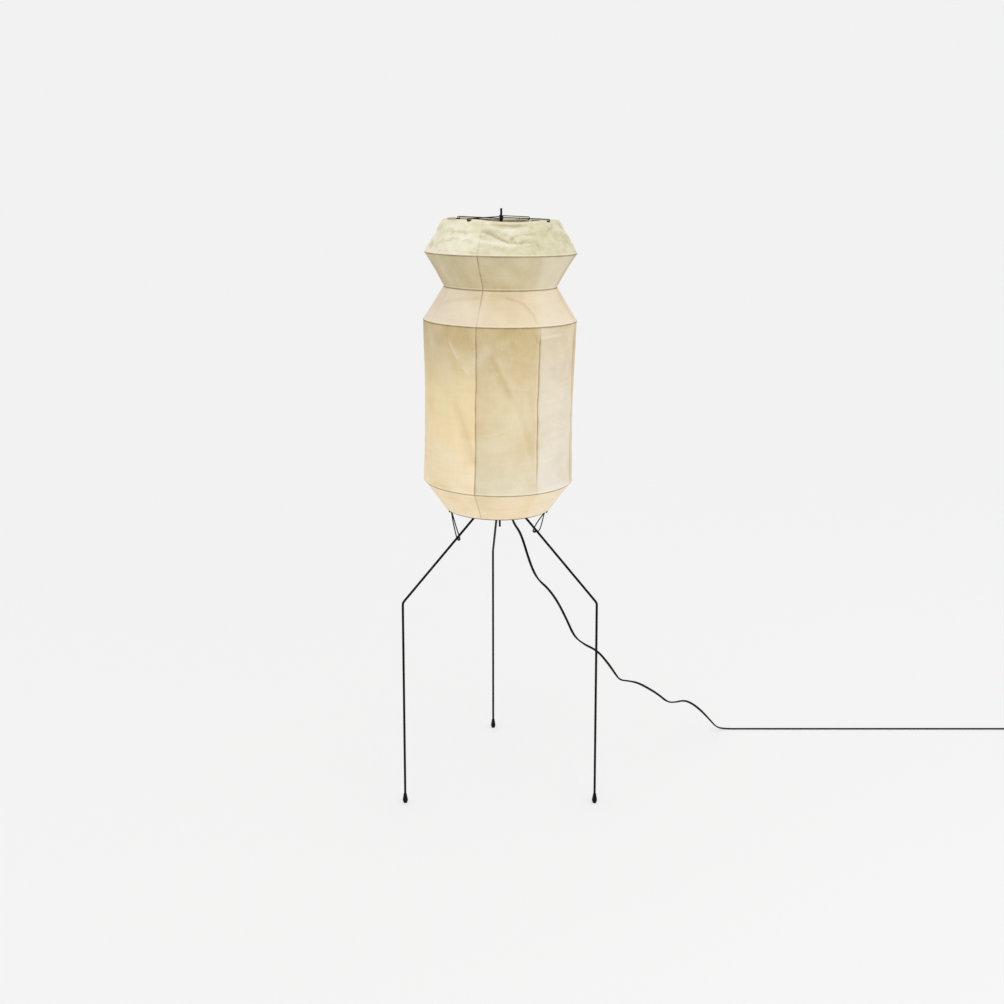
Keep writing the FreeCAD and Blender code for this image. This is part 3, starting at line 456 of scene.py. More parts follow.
def frame_at(point: Vector, heading: Vector, across: Vector) -> Matrix:
    """Work out the frame of a section that is swept along a line.

    Args:
        point: Where on the line it is.
        heading: The line's direction there, which is the frame's +Z.
        across: A direction that its +X is as near to as it can be.

    Returns:
        The frame.
    """
    across = (across - heading * across.dot(heading)).normalized()
    turn = Matrix((across, heading.cross(across), heading)).transposed()
    return Matrix.Translation(point) @ turn.to_4x4()


def sweep(section: Sequence[Vector], frames: Sequence[Matrix], closed: bool = False) -> bmesh.types.BMesh:
    """Extrude a closed section from frame to frame.

    Args:
        section: The section's corners, in each frame's XY plane.
        frames: The frames along the line.
        closed: Whether the line comes back to its start.

    Returns:
        The swept mesh, with lids at its ends if it has any, facing outwards.
    """
    work = bmesh.new()
    spots = [work.verts.new(frames[0] @ corner) for corner in section]
    edges = [work.edges.new(pair) for pair in zip(spots, spots[1:] + spots[:1])]
    if not closed:
        work.faces.new(spots)
    for before, after in zip(frames, [*frames[1:], *frames[:1]] if closed else frames[1:]):
        made = bmesh.ops.extrude_edge_only(work, edges=edges)["geom"]
        fresh = {item for item in made if isinstance(item, bmesh.types.BMVert)}
        bmesh.ops.transform(work, matrix=after @ before.inverted(), verts=list(fresh))
        edges = [item for item in made
                 if isinstance(item, bmesh.types.BMEdge) and fresh.issuperset(item.verts)]
    if closed:
        bmesh.ops.remove_doubles(work, verts=work.verts, dist=1e-3)
    else:
        bmesh.ops.contextual_create(work, geom=edges)
    bmesh.ops.recalc_face_normals(work, faces=work.faces)
    return work


def round_wire(path: Sequence[Vector], radius: float, sides: int = 10) -> bmesh.types.BMesh:
    """Sweep a round wire along a line.

    Args:
        path: The points of its centre line.
        radius: The wire's radius.
        sides: How many facets it has round.

    Returns:
        The wire's mesh.
    """
    across = (path[1] - path[0]).orthogonal()
    frames = []
    for index, point in enumerate(path):
        heading = (path[min(index + 1, len(path) - 1)] - path[max(index - 1, 0)]).normalized()
        frames.append(frame_at(point, heading, across))
        across = frames[-1].col[0].to_3d()
    return sweep([polar(radius, 360 * side / sides) for side in range(sides)], frames)


# ---------------------------------------------------------------- the studio
@dataclass
class Studio:
    """A pale floor under soft light, and the camera."""

    camera_place: tuple[float, float, float] = (5.236, -2695.535, 1477.0)
    camera_tilt: float = 15.59
    lens_mm: float = 40.53
    sensor_mm: float = 36.0
    background: str = "#f2f2f2"
    floor_paint: str = "#fdfdfd"
    floor_size: float = 60000.0
    floor_shadow_share: float = 0.4
    world_light: float = 0.9
    key_place: tuple[float, float, float] = (1900.0, -2900.0, 1900.0)
    key_aim: tuple[float, float, float] = (0.0, 0.0, 900.0)
    key_width: float = 2600.0
    key_watts: float = 20.0

    def build(self) -> None:
        """Make the world, the floor, the lamp and the camera."""
        self.make_world()
        self.make_floor()
        self.make_key()
        self.make_camera()
        bpy.context.scene.view_settings.view_transform = "Standard"

    def seen_rays(self, tree: bpy.types.NodeTree) -> bpy.types.NodeSocket:
        """Find the rays that see the backdrop.

        Args:
            tree: The tree that the nodes join.

        Returns:
            1 for rays from the camera and rays that gloss or glass sends on, else 0.
        """
        path = add_node(tree, "ShaderNodeLightPath")
        gloss = add_node(tree, "ShaderNodeMath", {0: path.outputs["Is Camera Ray"],
                                                  1: path.outputs["Is Glossy Ray"]}, operation="MAXIMUM")
        return add_node(tree, "ShaderNodeMath", {0: gloss.outputs["Value"],
                                                 1: path.outputs["Is Transmission Ray"]},
                        operation="MAXIMUM").outputs["Value"]

    def make_world(self) -> None:
        """Light an even white sky that shows as the pale background."""
        world = bpy.data.worlds.new("studio")
        bpy.context.scene.world = world
        world.use_nodes = True
        tree = world.node_tree
        light = tree.nodes["Background"]
        light.inputs["Strength"].default_value = self.world_light
        light.inputs["Color"].default_value = linear("#ffffff")
        shown = add_node(tree, "ShaderNodeBackground", {"Color": linear(self.background), "Strength": 1.0})
        both = add_node(tree, "ShaderNodeMixShader", {"Fac": self.seen_rays(tree), 1: light.outputs[0],
                                                      2: shown.outputs[0]})
        tree.links.new(both.outputs[0], tree.nodes["World Output"].inputs["Surface"])

    def make_floor(self) -> None:
        """Lay a level floor, partly self-lit where it is seen, so that only soft shadows show."""
        work = bmesh.new()
        bmesh.ops.create_grid(work, x_segments=1, y_segments=1, size=self.floor_size / 2)
        bmesh.ops.transform(work, matrix=Matrix.Scale(MM, 4), verts=work.verts)
        mesh = bpy.data.meshes.new("studio_floor")
        work.to_mesh(mesh)
        work.free()
        floor = bpy.data.objects.new("studio_floor", mesh)
        bpy.context.scene.collection.objects.link(floor)
        made = bpy.data.materials.new("studio_floor_paint")
        made.use_nodes = True
        tree = made.node_tree
        tree.nodes.remove(tree.nodes["Principled BSDF"])
        matt = add_node(tree, "ShaderNodeBsdfDiffuse", {"Color": linear(self.floor_paint)})
        lit = add_node(tree, "ShaderNodeEmission", {"Color": linear(self.background), "Strength": 1.0})
        share = add_node(tree, "ShaderNodeMath", {0: self.seen_rays(tree), 1: 1 - self.floor_shadow_share},
                         operation="MULTIPLY")
        both = add_node(tree, "ShaderNodeMixShader", {"Fac": share.outputs["Value"], 1: matt.outputs[0],
                                                      2: lit.outputs[0]})
        tree.links.new(both.outputs[0], tree.nodes["Material Output"].inputs["Surface"])
        mesh.materials.append(made)

    def make_key(self) -> None:
        """Hang a square softbox in front, to the right, that looks at the lantern."""
        data = bpy.data.lights.new("key_softbox", "AREA")
        data.size = self.key_width * MM
        data.energy = self.key_watts
        lamp = bpy.data.objects.new("key_softbox", data)
        lamp.location = Vector(self.key_place) * MM
        aim = Vector(self.key_aim) - Vector(self.key_place)
        lamp.rotation_euler = aim.to_track_quat("-Z", "Y").to_euler()
        bpy.context.scene.collection.objects.link(lamp)

    def make_camera(self) -> None:
        """Stand the camera at the photograph's place and tilt."""
        data = bpy.data.cameras.new("camera")
        data.lens = self.lens_mm
        data.sensor_width = self.sensor_mm
        camera = bpy.data.objects.new("camera", data)
        camera.location = Vector(self.camera_place) * MM
        camera.rotation_euler = (math.radians(90 - self.camera_tilt), 0, 0)
        bpy.context.scene.collection.objects.link(camera)
        bpy.context.scene.camera = camera


# ---------------------------------------------------------------- the lead
@dataclass
class MainsLead:
    """The flat two-core lead: its route, its coil, and the band, bush and plug on it."""

    width: float = 6.2
    thickness: float = 3.8
    exit_drop: float = 30.0
    floor_reach: float = 634.0
    split_reach: float = 690.0
    depth: float = 257.4
    coil_start: float = 1465.0
    coil_mean_radius: float = 31.0
    coil_turns: int = 5
    coil_gap: float = 0.1
    layer_gap: float = 0.3
    points_per_turn: int = 16
    floor_spans: int = 12
    core_angles: tuple[int, ...] = (-112, -80, -45, 0, 45, 80, 112)
    # How far the hanging lead's flat side looks up from the front, in degrees.
    face_tilt: float = 20.0
    # Where the lead turns level as it comes down to the floor.
    level_reach: float = 600.0
    level_span: float = 30.0
    plug_reach: float = 66.0
    plug_entry_height: float = 7.0
    plug_size: tuple[float, float, float] = (26.0, 20.0, 14.0)
    # How much narrower and thinner the plug is where the lead goes in.
    plug_waist: tuple[float, float] = (0.42, 0.28)
    plug_rounding: float = 2.2
    blade_size: tuple[float, float, float] = (17.5, 1.5, 6.3)
    blade_aside: float = 6.35
    blade_sink: float = 0.05
    bush_length: float = 22.0
    bush_ribs: int = 4
    rib_start: float = 2.6
    rib_pitch: float = 3.2
    rib_radius: float = 4.1
    rib_growth: float = 0.42
    band_size: tuple[float, float] = (0.9, 6.0)
    band_gap: float = 0.35
    band_rounding: float = 2.0
    real_length: float = 2980.0

    # The route's points from the post's centre line, as the lead hangs.
    route: tuple[tuple[float, float, float], ...] = (
        (25.7, 25.5, 744.0), (26.2, 25.8, 706.0), (33.0, 28.4, 678.0), (48.3, 34.3, 654.0),
        (58.1, 38.1, 627.3), (70.6, 42.9, 583.2), (83.2, 47.8, 546.2), (97.2, 53.2, 519.1),
        (122.2, 62.9, 493.2), (147.2, 72.6, 454.3), (172.3, 82.3, 400.3), (192.3, 90.1, 351.2),
        (218.3, 100.1, 325.3), (256.3, 114.9, 300.4), (287.3, 126.9, 258.0), (306.4, 134.2, 226.5),
        (320.3, 139.7, 205.1), (343.3, 148.6, 198.7), (371.3, 159.4, 188.3), (401.3, 171.0, 166.9),
        (431.3, 182.6, 143.0), (459.3, 193.5, 114.6), (480.3, 201.6, 110.3), (508.2, 212.4, 111.4),
        (532.2, 221.7, 97.0), (559.1, 232.2, 71.6), (588.1, 243.4, 36.3), (609.1, 251.5, 9.8),
    )
    # How far the flat side turns from the front along the reach: the lead kinks over on its edge.
    twists: tuple[tuple[float, float], ...] = (
        (26.0, 55.0), (50.0, 12.0), (84.0, 8.0), (97.0, 72.0), (116.0, 16.0), (182.0, 4.0), (207.0, 74.0),
        (236.0, 28.0), (292.0, 4.0), (318.0, 66.0), (344.0, 70.0), (382.0, 12.0), (440.0, 24.0),
        (466.0, 76.0), (500.0, 52.0), (552.0, 8.0), (585.0, 60.0), (625.0, 110.0),
    )

    def build(self) -> None:
        exit_point = HOLDER @ Vector((0, 0, -self.exit_drop))
        path = smooth_line([exit_point] + [STAND @ point for point in self.route_points()])
        lead = self.flat_lead(path)
        bush = self.make_bush()
        plug, blades = self.make_plug()
        band = self.make_band()

    def coil_reach(self, inward: float = 0.0) -> float:
        """The radius of the turn that lies so many turns inside the outermost one."""
        return self.coil_mean_radius + (self.width + self.coil_gap) * (self.coil_turns / 4 - inward)

    def coil_centre(self) -> Vector:
        """The middle of the coil, from the post's centre line."""
        return Vector((self.coil_start, self.depth - self.coil_reach(), 0))

    def route_points(self) -> list[Vector]:
        """Lay out the route: hanging, along the floor, round the coil in two layers, to the plug.

        Returns:
            The control points, from the post's centre line.
        """
        rest = self.thickness / 2
        points = [Vector(point) for point in self.route]
        points += [Vector((reach, self.depth, rest)) for reach in (self.floor_reach, self.split_reach)]
        run = self.coil_start - self.split_reach
        points += [Vector((self.split_reach + run * index / self.floor_spans, self.depth, rest))
                   for index in range(1, self.floor_spans)]
        centre = self.coil_centre()
        rise = self.thickness + self.layer_gap
        for index in range(self.points_per_turn * self.coil_turns + 1):
            turn = index / self.points_per_turn
            climb = smooth_step((turn - self.coil_turns / 2) * 2 + 0.5)
            angle = math.pi / 2 - FULL_TURN * turn
            reach = self.coil_reach(min(turn, self.coil_turns - turn))
            points.append(centre + Vector((reach * math.cos(angle), reach * math.sin(angle),
                                           rest + rise * climb)))
        end = points[-1]
        for share in (0.2, 0.45, 0.72, 1.0):
            points.append(Vector((end.x + self.width + self.plug_reach * share, end.y,
                                  end.z + (self.plug_entry_height - end.z) * smooth_step(share))))
        return points

    def twist_at(self, reach: float) -> float:
        """Find how far the flat side is turned.

        Args:
            reach: How far to the right of the post.

        Returns:
            Its turn from the front, in radians.
        """
        for (start, first), (end, last) in zip(self.twists, self.twists[1:]):
            if reach <= end:
                return math.radians(first + (last - first) * smooth_step((reach - start) / (end - start)))
        return math.radians(self.twists[-1][1])

    def flat_lead(self, path: Sequence[Vector]) -> bpy.types.Object:
        """Sweep the two-core section along the line, flat on the floor and twisting where it hangs.

        Args:
            path: The points of the lead's centre line.

        Returns:
            The piece.
        """
        core = self.thickness / 2
        aside = (self.width - self.thickness) / 2
        half = [polar(core, angle) + Vector((aside, 0, 0)) for angle in self.core_angles]
        section = half + [Vector((-point.x, -point.y, 0)) for point in half]
        tilt = math.radians(self.face_tilt)
        front = Vector((0, math.cos(tilt), -math.sin(tilt)))
        frames = []
        for index, point in enumerate(path):
            heading = (path[min(index + 1, len(path) - 1)] - path[max(index - 1, 0)]).normalized()
            across = heading.cross(front).normalized()
            reach = point.x - POST_FOOT.x
            turn = self.twist_at(reach)
            wide = across * math.cos(turn) + heading.cross(across) * math.sin(turn)
            level = heading.cross(Vector((0, 0, 1))).normalized()
            wide = wide.lerp(level, smooth_step((reach - self.level_reach) / self.level_span))
            frames.append(frame_at(point, heading, wide))
        work = sweep(section, frames)
        return register("mains_lead", work, Matrix(), LEAD_PVC, "root",
                        ["cord_hanging", "cord_floor", "cord_coil", "cord_tail"], sharp=60)

    def make_bush(self) -> bpy.types.Object:
        """Turn the tapered, ribbed bush that the lead leaves the lampholder through.

        Returns:
            The piece.
        """
        corners = [(0.0, 0.0), (3.4, 0.0), (4.0, 0.5)]
        for index in range(self.bush_ribs):
            low = self.rib_start + self.rib_pitch * index
            radius = self.rib_radius + self.rib_growth * index
            corners += [(radius, low), (radius - 0.5, low + 0.4), (radius - 0.4, low + 1.2),
                        (radius + 0.3, low + 1.6)]
        corners += [(5.8, 16.0), (6.0, 16.4), (6.0, self.bush_length), (0.0, self.bush_length)]
        return register("cord_bush_ribbed", turned_profile(corners, 40),
                        HOLDER @ Matrix.Translation((0, 0, -self.exit_drop)),
                        BUSH_RUBBER, "root", ["cord_bush"])

    def make_plug(self) -> tuple[bpy.types.Object, bpy.types.Object]:
        """Mould the two-blade plug with its finger grips.

        Returns:
            The plug's body and its blades.
        """
        length, width, height = self.plug_size
        past = Vector((self.width + self.plug_reach, self.coil_reach(), 0))
        entry = STAND @ (self.coil_centre() + past)
        work = bmesh.new()
        bmesh.ops.create_cube(work, size=1.0)
        bmesh.ops.scale(work, vec=(length, width, height), verts=work.verts)
        bmesh.ops.translate(work, vec=(length / 2, 0, height / 2), verts=work.verts)
        bmesh.ops.subdivide_edges(work, edges=[edge for edge in work.edges
                                               if abs((edge.verts[0].co - edge.verts[1].co).x) > 1],
                                  cuts=12, use_grid_fill=True)
        narrow, thin = self.plug_waist
        for vertex in work.verts:
            share = vertex.co.x / length
            grip = 0.05 * math.sin(share * 40) * (0.2 < share < 0.75)
            vertex.co.y *= 1 - narrow * (1 - smooth_step(share * 1.6)) - grip
            flat = 1 - thin * (1 - smooth_step(share * 1.8))
            vertex.co.z = height / 2 + (vertex.co.z - height / 2) * flat
        long_edges = [edge for edge in work.edges if abs((edge.verts[0].co - edge.verts[1].co).x) > 0.5]
        ends = [edge for edge in work.edges if edge not in long_edges
                and (edge.verts[0].co.x > length - 0.1 or edge.verts[0].co.x < 0.1)]
        bmesh.ops.bevel(work, geom=long_edges + ends, offset=self.plug_rounding, offset_type="OFFSET",
                        affect="EDGES", segments=3, profile=0.5, material=-1, clamp_overlap=True)
        place = Matrix.Translation((entry.x, entry.y, 0))
        plug = register("mains_plug_body", work, place, PLUG_PVC, "root", ["plug_body"], 40)
        work = bmesh.new()
        for side in (-1, 1):
            made = bmesh.ops.create_cube(work, size=1.0)["verts"]
            bmesh.ops.scale(work, vec=self.blade_size, verts=made)
            out = length + self.blade_size[0] / 2 - self.blade_sink
            bmesh.ops.translate(work, vec=(out, side * self.blade_aside, height / 2), verts=made)
            tips = [edge for vertex in made for edge in vertex.link_edges
                    if all(spot.co.x > length + 10 for spot in edge.verts)]
            bmesh.ops.bevel(work, geom=list(set(tips)), offset=0.6, offset_type="OFFSET", affect="EDGES",
                            segments=2, profile=0.5, material=-1)
        blades = register("mains_plug_blades", work, place, BRASS, "root", ["plug_blades"], 30)
        return plug, blades

    def make_band(self) -> bpy.types.Object:
        """Wrap the hook-and-loop band once round the coil's turns.

        Returns:
            The piece.
        """
        inner = self.coil_reach(self.coil_turns / 2) - self.width / 2 - self.band_gap
        outer = self.coil_reach() + self.width / 2 + self.band_gap
        top = 2 * self.thickness + self.layer_gap + self.band_gap
        thick, width = self.band_size
        middle = Vector(((inner + outer) / 2, 0, top / 2))
        work = bmesh.new()
        bmesh.ops.create_cube(work, size=1.0)
        bmesh.ops.scale(work, vec=(outer - inner + 2 * thick, width, top + thick), verts=work.verts)
        bmesh.ops.translate(work, vec=middle + Vector((0, 0, thick / 2)), verts=work.verts)
        bottom = [face for face in work.faces if face.normal.z < -0.9]
        sides = [face for face in work.faces if abs(face.normal.y) > 0.9]
        bmesh.ops.delete(work, geom=bottom + sides, context="FACES")
        bmesh.ops.bevel(work, geom=[edge for edge in work.edges if len(edge.link_faces) == 2],
                        offset=self.band_rounding, offset_type="OFFSET", affect="EDGES", segments=4,
                        profile=0.5, material=-1)
        bmesh.ops.recalc_face_normals(work, faces=work.faces)
        bmesh.ops.solidify(work, geom=work.faces, thickness=thick)
        bmesh.ops.recalc_face_normals(work, faces=work.faces)
        centre = STAND @ self.coil_centre()
        place = Matrix.Translation(centre) @ Matrix.Rotation(math.radians(-90), 4, "Z")
        return register("coil_tie_band", work, place, TIE_PILE, "root", ["coil_tie"], 50)


# ---------------------------------------------------------------- the lantern
# The bands of paper between the rings, from the top.
TOP_BAND, SHOULDER_BAND, NECK_BAND, BODY_BAND, LOW_BAND = range(5)

# The tints that the paper's age, its folds and its glue give it, and the painted shade and
# painted highlights on its crumples, folds and seams.
AMBER_GLOW = linear("#f8dfa6")
# A warm white that some gores are mixed towards at their low end.
LOW_WARM_WHITE = linear("#ffe9c0")
DRIFT_TAN = linear("#caa76a")
DRIFT_PALE = linear("#f6ecd8")
STREAK_TAN = linear("#b8975a")
# Painted shade on the crumples and creases, top band then the rest, and painted highlight.
RIM_PAINTED_SHADE = linear("#9d9162")
BODY_PAINTED_SHADE = linear("#b39a66")
PAINTED_HIGHLIGHT = linear("#fffdf0")
# A painted highlight along the top of each fold.
FOLD_PAINTED_HIGHLIGHT = linear("#fff6dc")
FOLD_BROWN = linear("#6f5329")
HEM_BROWN = linear("#5d4526")
SEAM_BROWN = linear("#7d5a2b")
LAP_TAN = linear("#a98d58")
# A painted highlight beside each seam.
SEAM_PAINTED_HIGHLIGHT = linear("#fff3d6")


def runs_round(edge: bmesh.types.BMEdge) -> bool:
    """Whether an edge of the paper runs round the lantern more than down it."""
    step = edge.verts[0].co - edge.verts[1].co
    return abs(step.z) < 0.8 * step.length


@dataclass(frozen=True)
class Fold:
    """A fold of the paper over a wire ring, with the name that the ring's node starts with."""

    name: str
    radius: float
    height: float


@dataclass(frozen=True)
class Mark:
    """A line drawn on the paper: a crease, or a line of painted shade or of painted highlight.

    Attributes:
        line: Its corners as (azimuth, run).
        amount: How deep a crease is, or how strong a painted shade, below 0, or highlight, above 0.
        width: How far from the line it fades out.
    """

    line: tuple[tuple[float, float], ...]
    amount: float
    width: float

    @cached_property
    def box(self) -> tuple[float, float, float, float]:
        """Work out where it could reach.

        Returns:
            The first and the last run, and the first and the last azimuth.
        """
        turns, runs = zip(*self.line)
        reach, aside = 5 * self.width, 24.0
        return min(runs) - reach, max(runs) + reach, min(turns) - aside, max(turns) + aside

    def is_near(self, azimuth: float, run: float) -> bool:
        """Whether it could reach a place on the paper."""
        first_run, last_run, first_turn, last_turn = self.box
        return first_run < run < last_run and first_turn < azimuth < last_turn

    def distance(self, azimuth: float, run: float, radius: float) -> float:
        """Measure how far a place on the paper is from the line.

        Args:
            azimuth: Where the place is, round the lantern.
            run: Where it is, down the paper.
            radius: The lantern's radius there.

        Returns:
            The distance along the paper.
        """
        near = math.inf
        round_step = math.radians(radius)
        for (first_turn, first_run), (last_turn, last_run) in zip(self.line, self.line[1:]):
            span_x, span_y = (last_turn - first_turn) * round_step, last_run - first_run
            spot_x = ((azimuth - first_turn + 180) % 360 - 180) * round_step
            spot_y = run - first_run
            share = (spot_x * span_x + spot_y * span_y) / (span_x * span_x + span_y * span_y)
            share = min(max(share, 0.0), 1.0)
            near = min(near, math.hypot(spot_x - span_x * share, spot_y - span_y * share))
        return near


@dataclass(frozen=True)
class BandTone:
    """A band's colours: at its top, at its bottom, and where the paper has faded."""

    top: str
    bottom: str
    faded: str


class Lot(Enum):
    """The sheet that a gore was cut from.

    Attributes:
        fades: How faded it is, band by band.
        amber: How amber its body is.
        low_white: How far its low end is mixed towards a warm white.
    """

    HONEY = ((-0.18, 0.0, 0.0, 0.0, 0.0), 0.32, 0.0)
    STRAW = ((0.84, 0.06, 0.55, 0.08, 0.30), 0.82, 0.55)
    CREAM = ((-0.72, 0.36, 0.32, 0.52, 0.30), 0.0, 0.0)

    def __init__(self, fades: tuple[float, ...], amber: float, low_white: float) -> None:
        """Keep a lot's values by name.

        Args:
            fades: How faded it is, band by band.
            amber: How amber its body is.
            low_white: How far its low end is mixed towards a warm white.
        """
        self.fades = fades
        self.amber = amber
        self.low_white = low_white


@dataclass
class Lantern:
    """The paper lantern: eight gores over six rings, and the cross of wires that it hangs by."""

    folds: tuple[Fold, ...] = (
        Fold("top_rim", 129.8, 1407.0), Fold("shoulder", 175.1, 1332.5), Fold("neck", 130.5, 1256.5),
        Fold("belt", 178.1, 1180.6), Fold("base", 178.2, 801.4), Fold("bottom_rim", 125.8, 727.7),
    )
    seams: tuple[float, ...] = (253.0, 300.2, 343.4, 388.0, 433.0, 478.0, 523.0, 568.0, 613.0)
    row_step: float = 2.6
    columns: int = 48
    # How far from a fold the rows beside it lie, and from a seam the columns beside it.
    fold_rows: tuple[float, ...] = (0.0, 0.8, 1.6, 2.6)
    seam_columns: tuple[float, ...] = (0.0, 0.7, 1.4, 2.6, 4.0)
    wall: float = 0.5
    seam_lap: float = 4.0
    lap_lift: float = 0.35
    seam_wander: float = 1.4
    hem_lift: float = 4.0
    # The paper lies flat near a fold, and swells a little over a ring.
    fold_flat: float = 15.0
    fold_swell: float = 0.55
    fold_swell_width: float = 1.6
    # The top edge lies below the hoop, is pressed down at each eye, and wavers a little all round.
    notch_depth: float = 5.5
    notch_width: float = 5.0
    edge_gap: float = 0.5
    edge_waver: float = 0.8
    # How the top and bottom edges are turned in, step by step, as (inward, past the edge).
    top_turn: tuple[tuple[float, float], ...] = ((1.0, -0.6), (1.3, 0.8), (0.5, 2.4), (0.3, 2.6))
    hem_turn: tuple[tuple[float, float], ...] = ((1.6, -0.3), (1.5, -0.1), (0.4, 2.4), (0.3, 2.6))
    hoop_radius: float = 129.13
    hoop_height: float = 1404.5
    hoop_wire: float = 1.0

    # How much each band is drawn in between its rings, and how deep it is crumpled.
    draws: tuple[float, ...] = (0.6, 1.2, 0.8, 3.6, 0.8)
    crumples: tuple[float, ...] = (3.5, 0.45, 0.9, 1.5, 0.6)
    # Where round the top band its crumples are calmer, and by how much.
    calm_azimuth: float = 268.0
    calm_share: float = 0.35
    # The lengths of the top band's warp, sharp folds and small folds.
    rim_lengths: tuple[float, float, float] = (55.0, 44.0, 21.0)
    # The lengths of the other bands' swells, ridges and ripples.
    band_lengths: tuple[float, float, float] = (62.0, 48.0, 17.0)
    # The sizes of the crumpled paper's flat facets, and how strongly each is painted paler or darker.
    facets: tuple[tuple[float, float], ...] = ((34.0, 0.60), (15.0, 0.24))
    lots: tuple[Lot, ...] = (Lot.HONEY, Lot.CREAM, Lot.HONEY, Lot.STRAW, Lot.HONEY, Lot.CREAM, Lot.STRAW,
                             Lot.STRAW)
    # How far from a seam two lots run into one another, band by band.
    blends: tuple[float, ...] = (46.0, 26.0, 26.0, 5.0, 10.0)
    tones: tuple[BandTone, ...] = (
        BandTone("#e0dcbd", "#dfdabb", "#f6f2d8"), BandTone("#bcb08a", "#c5b892", "#efe9df"),
        BandTone("#e6d3b3", "#ead8b9", "#efe9df"), BandTone("#c0a870", "#d4cdb9", "#efe9df"),
        BandTone("#ecd8b2", "#efd9b2", "#f2ecdc"),
    )
    # How far a tint shows, band by band: a warm white towards the low end, tan in drifts and tan in
    # streaks.
    low_white_shares: tuple[float, ...] = (0.0, 0.0, 0.35, 0.0, 1.0)
    tan_shares: tuple[float, ...] = (0.16, 0.34, 0.34, 0.34, 0.34)
    streak_shares: tuple[float, ...] = (0.0, 0.11, 0.11, 0.11, 0.11)
    # The sizes of the broad and the small drifts, and of the streaks as (degrees, rise).
    drift_sizes: tuple[float, float] = (80.0, 30.0)
    streak_sizes: tuple[tuple[float, float], ...] = ((26.0, 9.0), (14.0, 4.5))
    # How far a slope paints shade or highlight on the paper, band by band, and a facet in the top
    # one: a face that looks up is painted paler and one that looks down darker, as if lit from above.
    slope_shades: tuple[float, ...] = (1.5, 1.4, 1.4, 1.4, 1.4)
    facet_shade: float = 0.42
    pale_share: float = 0.30
    # How far the painted shade and the painted highlight tint the paper.
    painted_shade_share: float = 0.66
    painted_highlight_share: float = 0.62
    # The painted highlight above each fold and the brown line on it, as (how plain, past the fold,
    # width).
    fold_lines: tuple[tuple[float, float, float], ...] = ((0.45, -2.6, 1.2), (0.92, 0.7, 1.4))
    # The brown line along the bottom edge, as (how plain, how far up it starts).
    hem_line: tuple[float, float] = (0.8, 1.6)
    seam_line_width: float = 1.25
    # How plain the lap's tan tint and the painted highlight beside a seam are.
    seam_lap_and_highlight_share: float = 0.16
    # How plainly each seam shows, band by band, from the front seam round.
    seam_marks: tuple[tuple[float, ...], ...] = (
        (0.12, 0.70, 0.55, 0.78, 0.36), (0.0, 0.0, 0.0, 0.66, 0.0), (0.2, 0.3, 0.3, 0.4, 0.2),
        (0.15, 0.45, 0.4, 0.6, 0.3), (0.1, 0.5, 0.4, 0.5, 0.25), (0.2, 0.4, 0.3, 0.65, 0.3),
        (0.1, 0.5, 0.45, 0.5, 0.2), (0.1, 0.2, 0.15, 0.06, 0.25),
    )
    eyes: tuple[float, ...] = (-37.7, 58.0, 142.3, 238.0)
    # How far the rim sags from eye to eye, from the eye at -37.7 on.
    eye_sags: tuple[float, ...] = (3.2, 2.5, 3.2, 5.0)

    # The creases, outwards if above 0.
    creases: tuple[Mark, ...] = (
        Mark(((255, 29), (261, 32), (266, 39), (271, 46), (276, 52), (287, 54)), -3.0, 3.8),
        Mark(((279, 44), (283, 38), (289, 34), (298, 32)), -2.4, 4.0),
        Mark(((262, 18), (272, 24), (280, 36)), 2.4, 7.0),
        Mark(((247, 46), (255, 53), (266, 58), (279, 61)), 2.2, 5.0),
        Mark(((219, 42), (230, 44), (245, 45)), 1.8, 4.0),
        Mark(((226, 31), (240, 30), (250, 29)), -2.0, 5.0),
        Mark(((258, 13), (269, 12), (280, 10), (293, 9)), -1.6, 3.0),
        Mark(((297, 50), (299, 57), (300, 62)), -1.4, 2.4),
        Mark(((326, 12), (316, 26), (310, 38)), -2.0, 6.0),
        Mark(((279, 194), (292, 207), (298, 235), (299, 253)), 1.1, 5.5),
        Mark(((211, 215), (228, 201), (251, 193)), 0.8, 6.0),
        Mark(((231, 305), (238, 337)), 1.3, 3.0),
        Mark(((243, 357), (247, 373)), 1.2, 3.0),
        Mark(((235, 430), (243, 487), (251, 570)), -1.1, 11.0),
        Mark(((264, 334), (278, 420)), -1.6, 9.0),
        Mark(((282, 440), (297, 590)), -1.6, 8.0),
        Mark(((261, 508), (272, 498)), 0.6, 3.0),
        Mark(((295, 281), (299, 301)), -1.2, 2.5),
    )
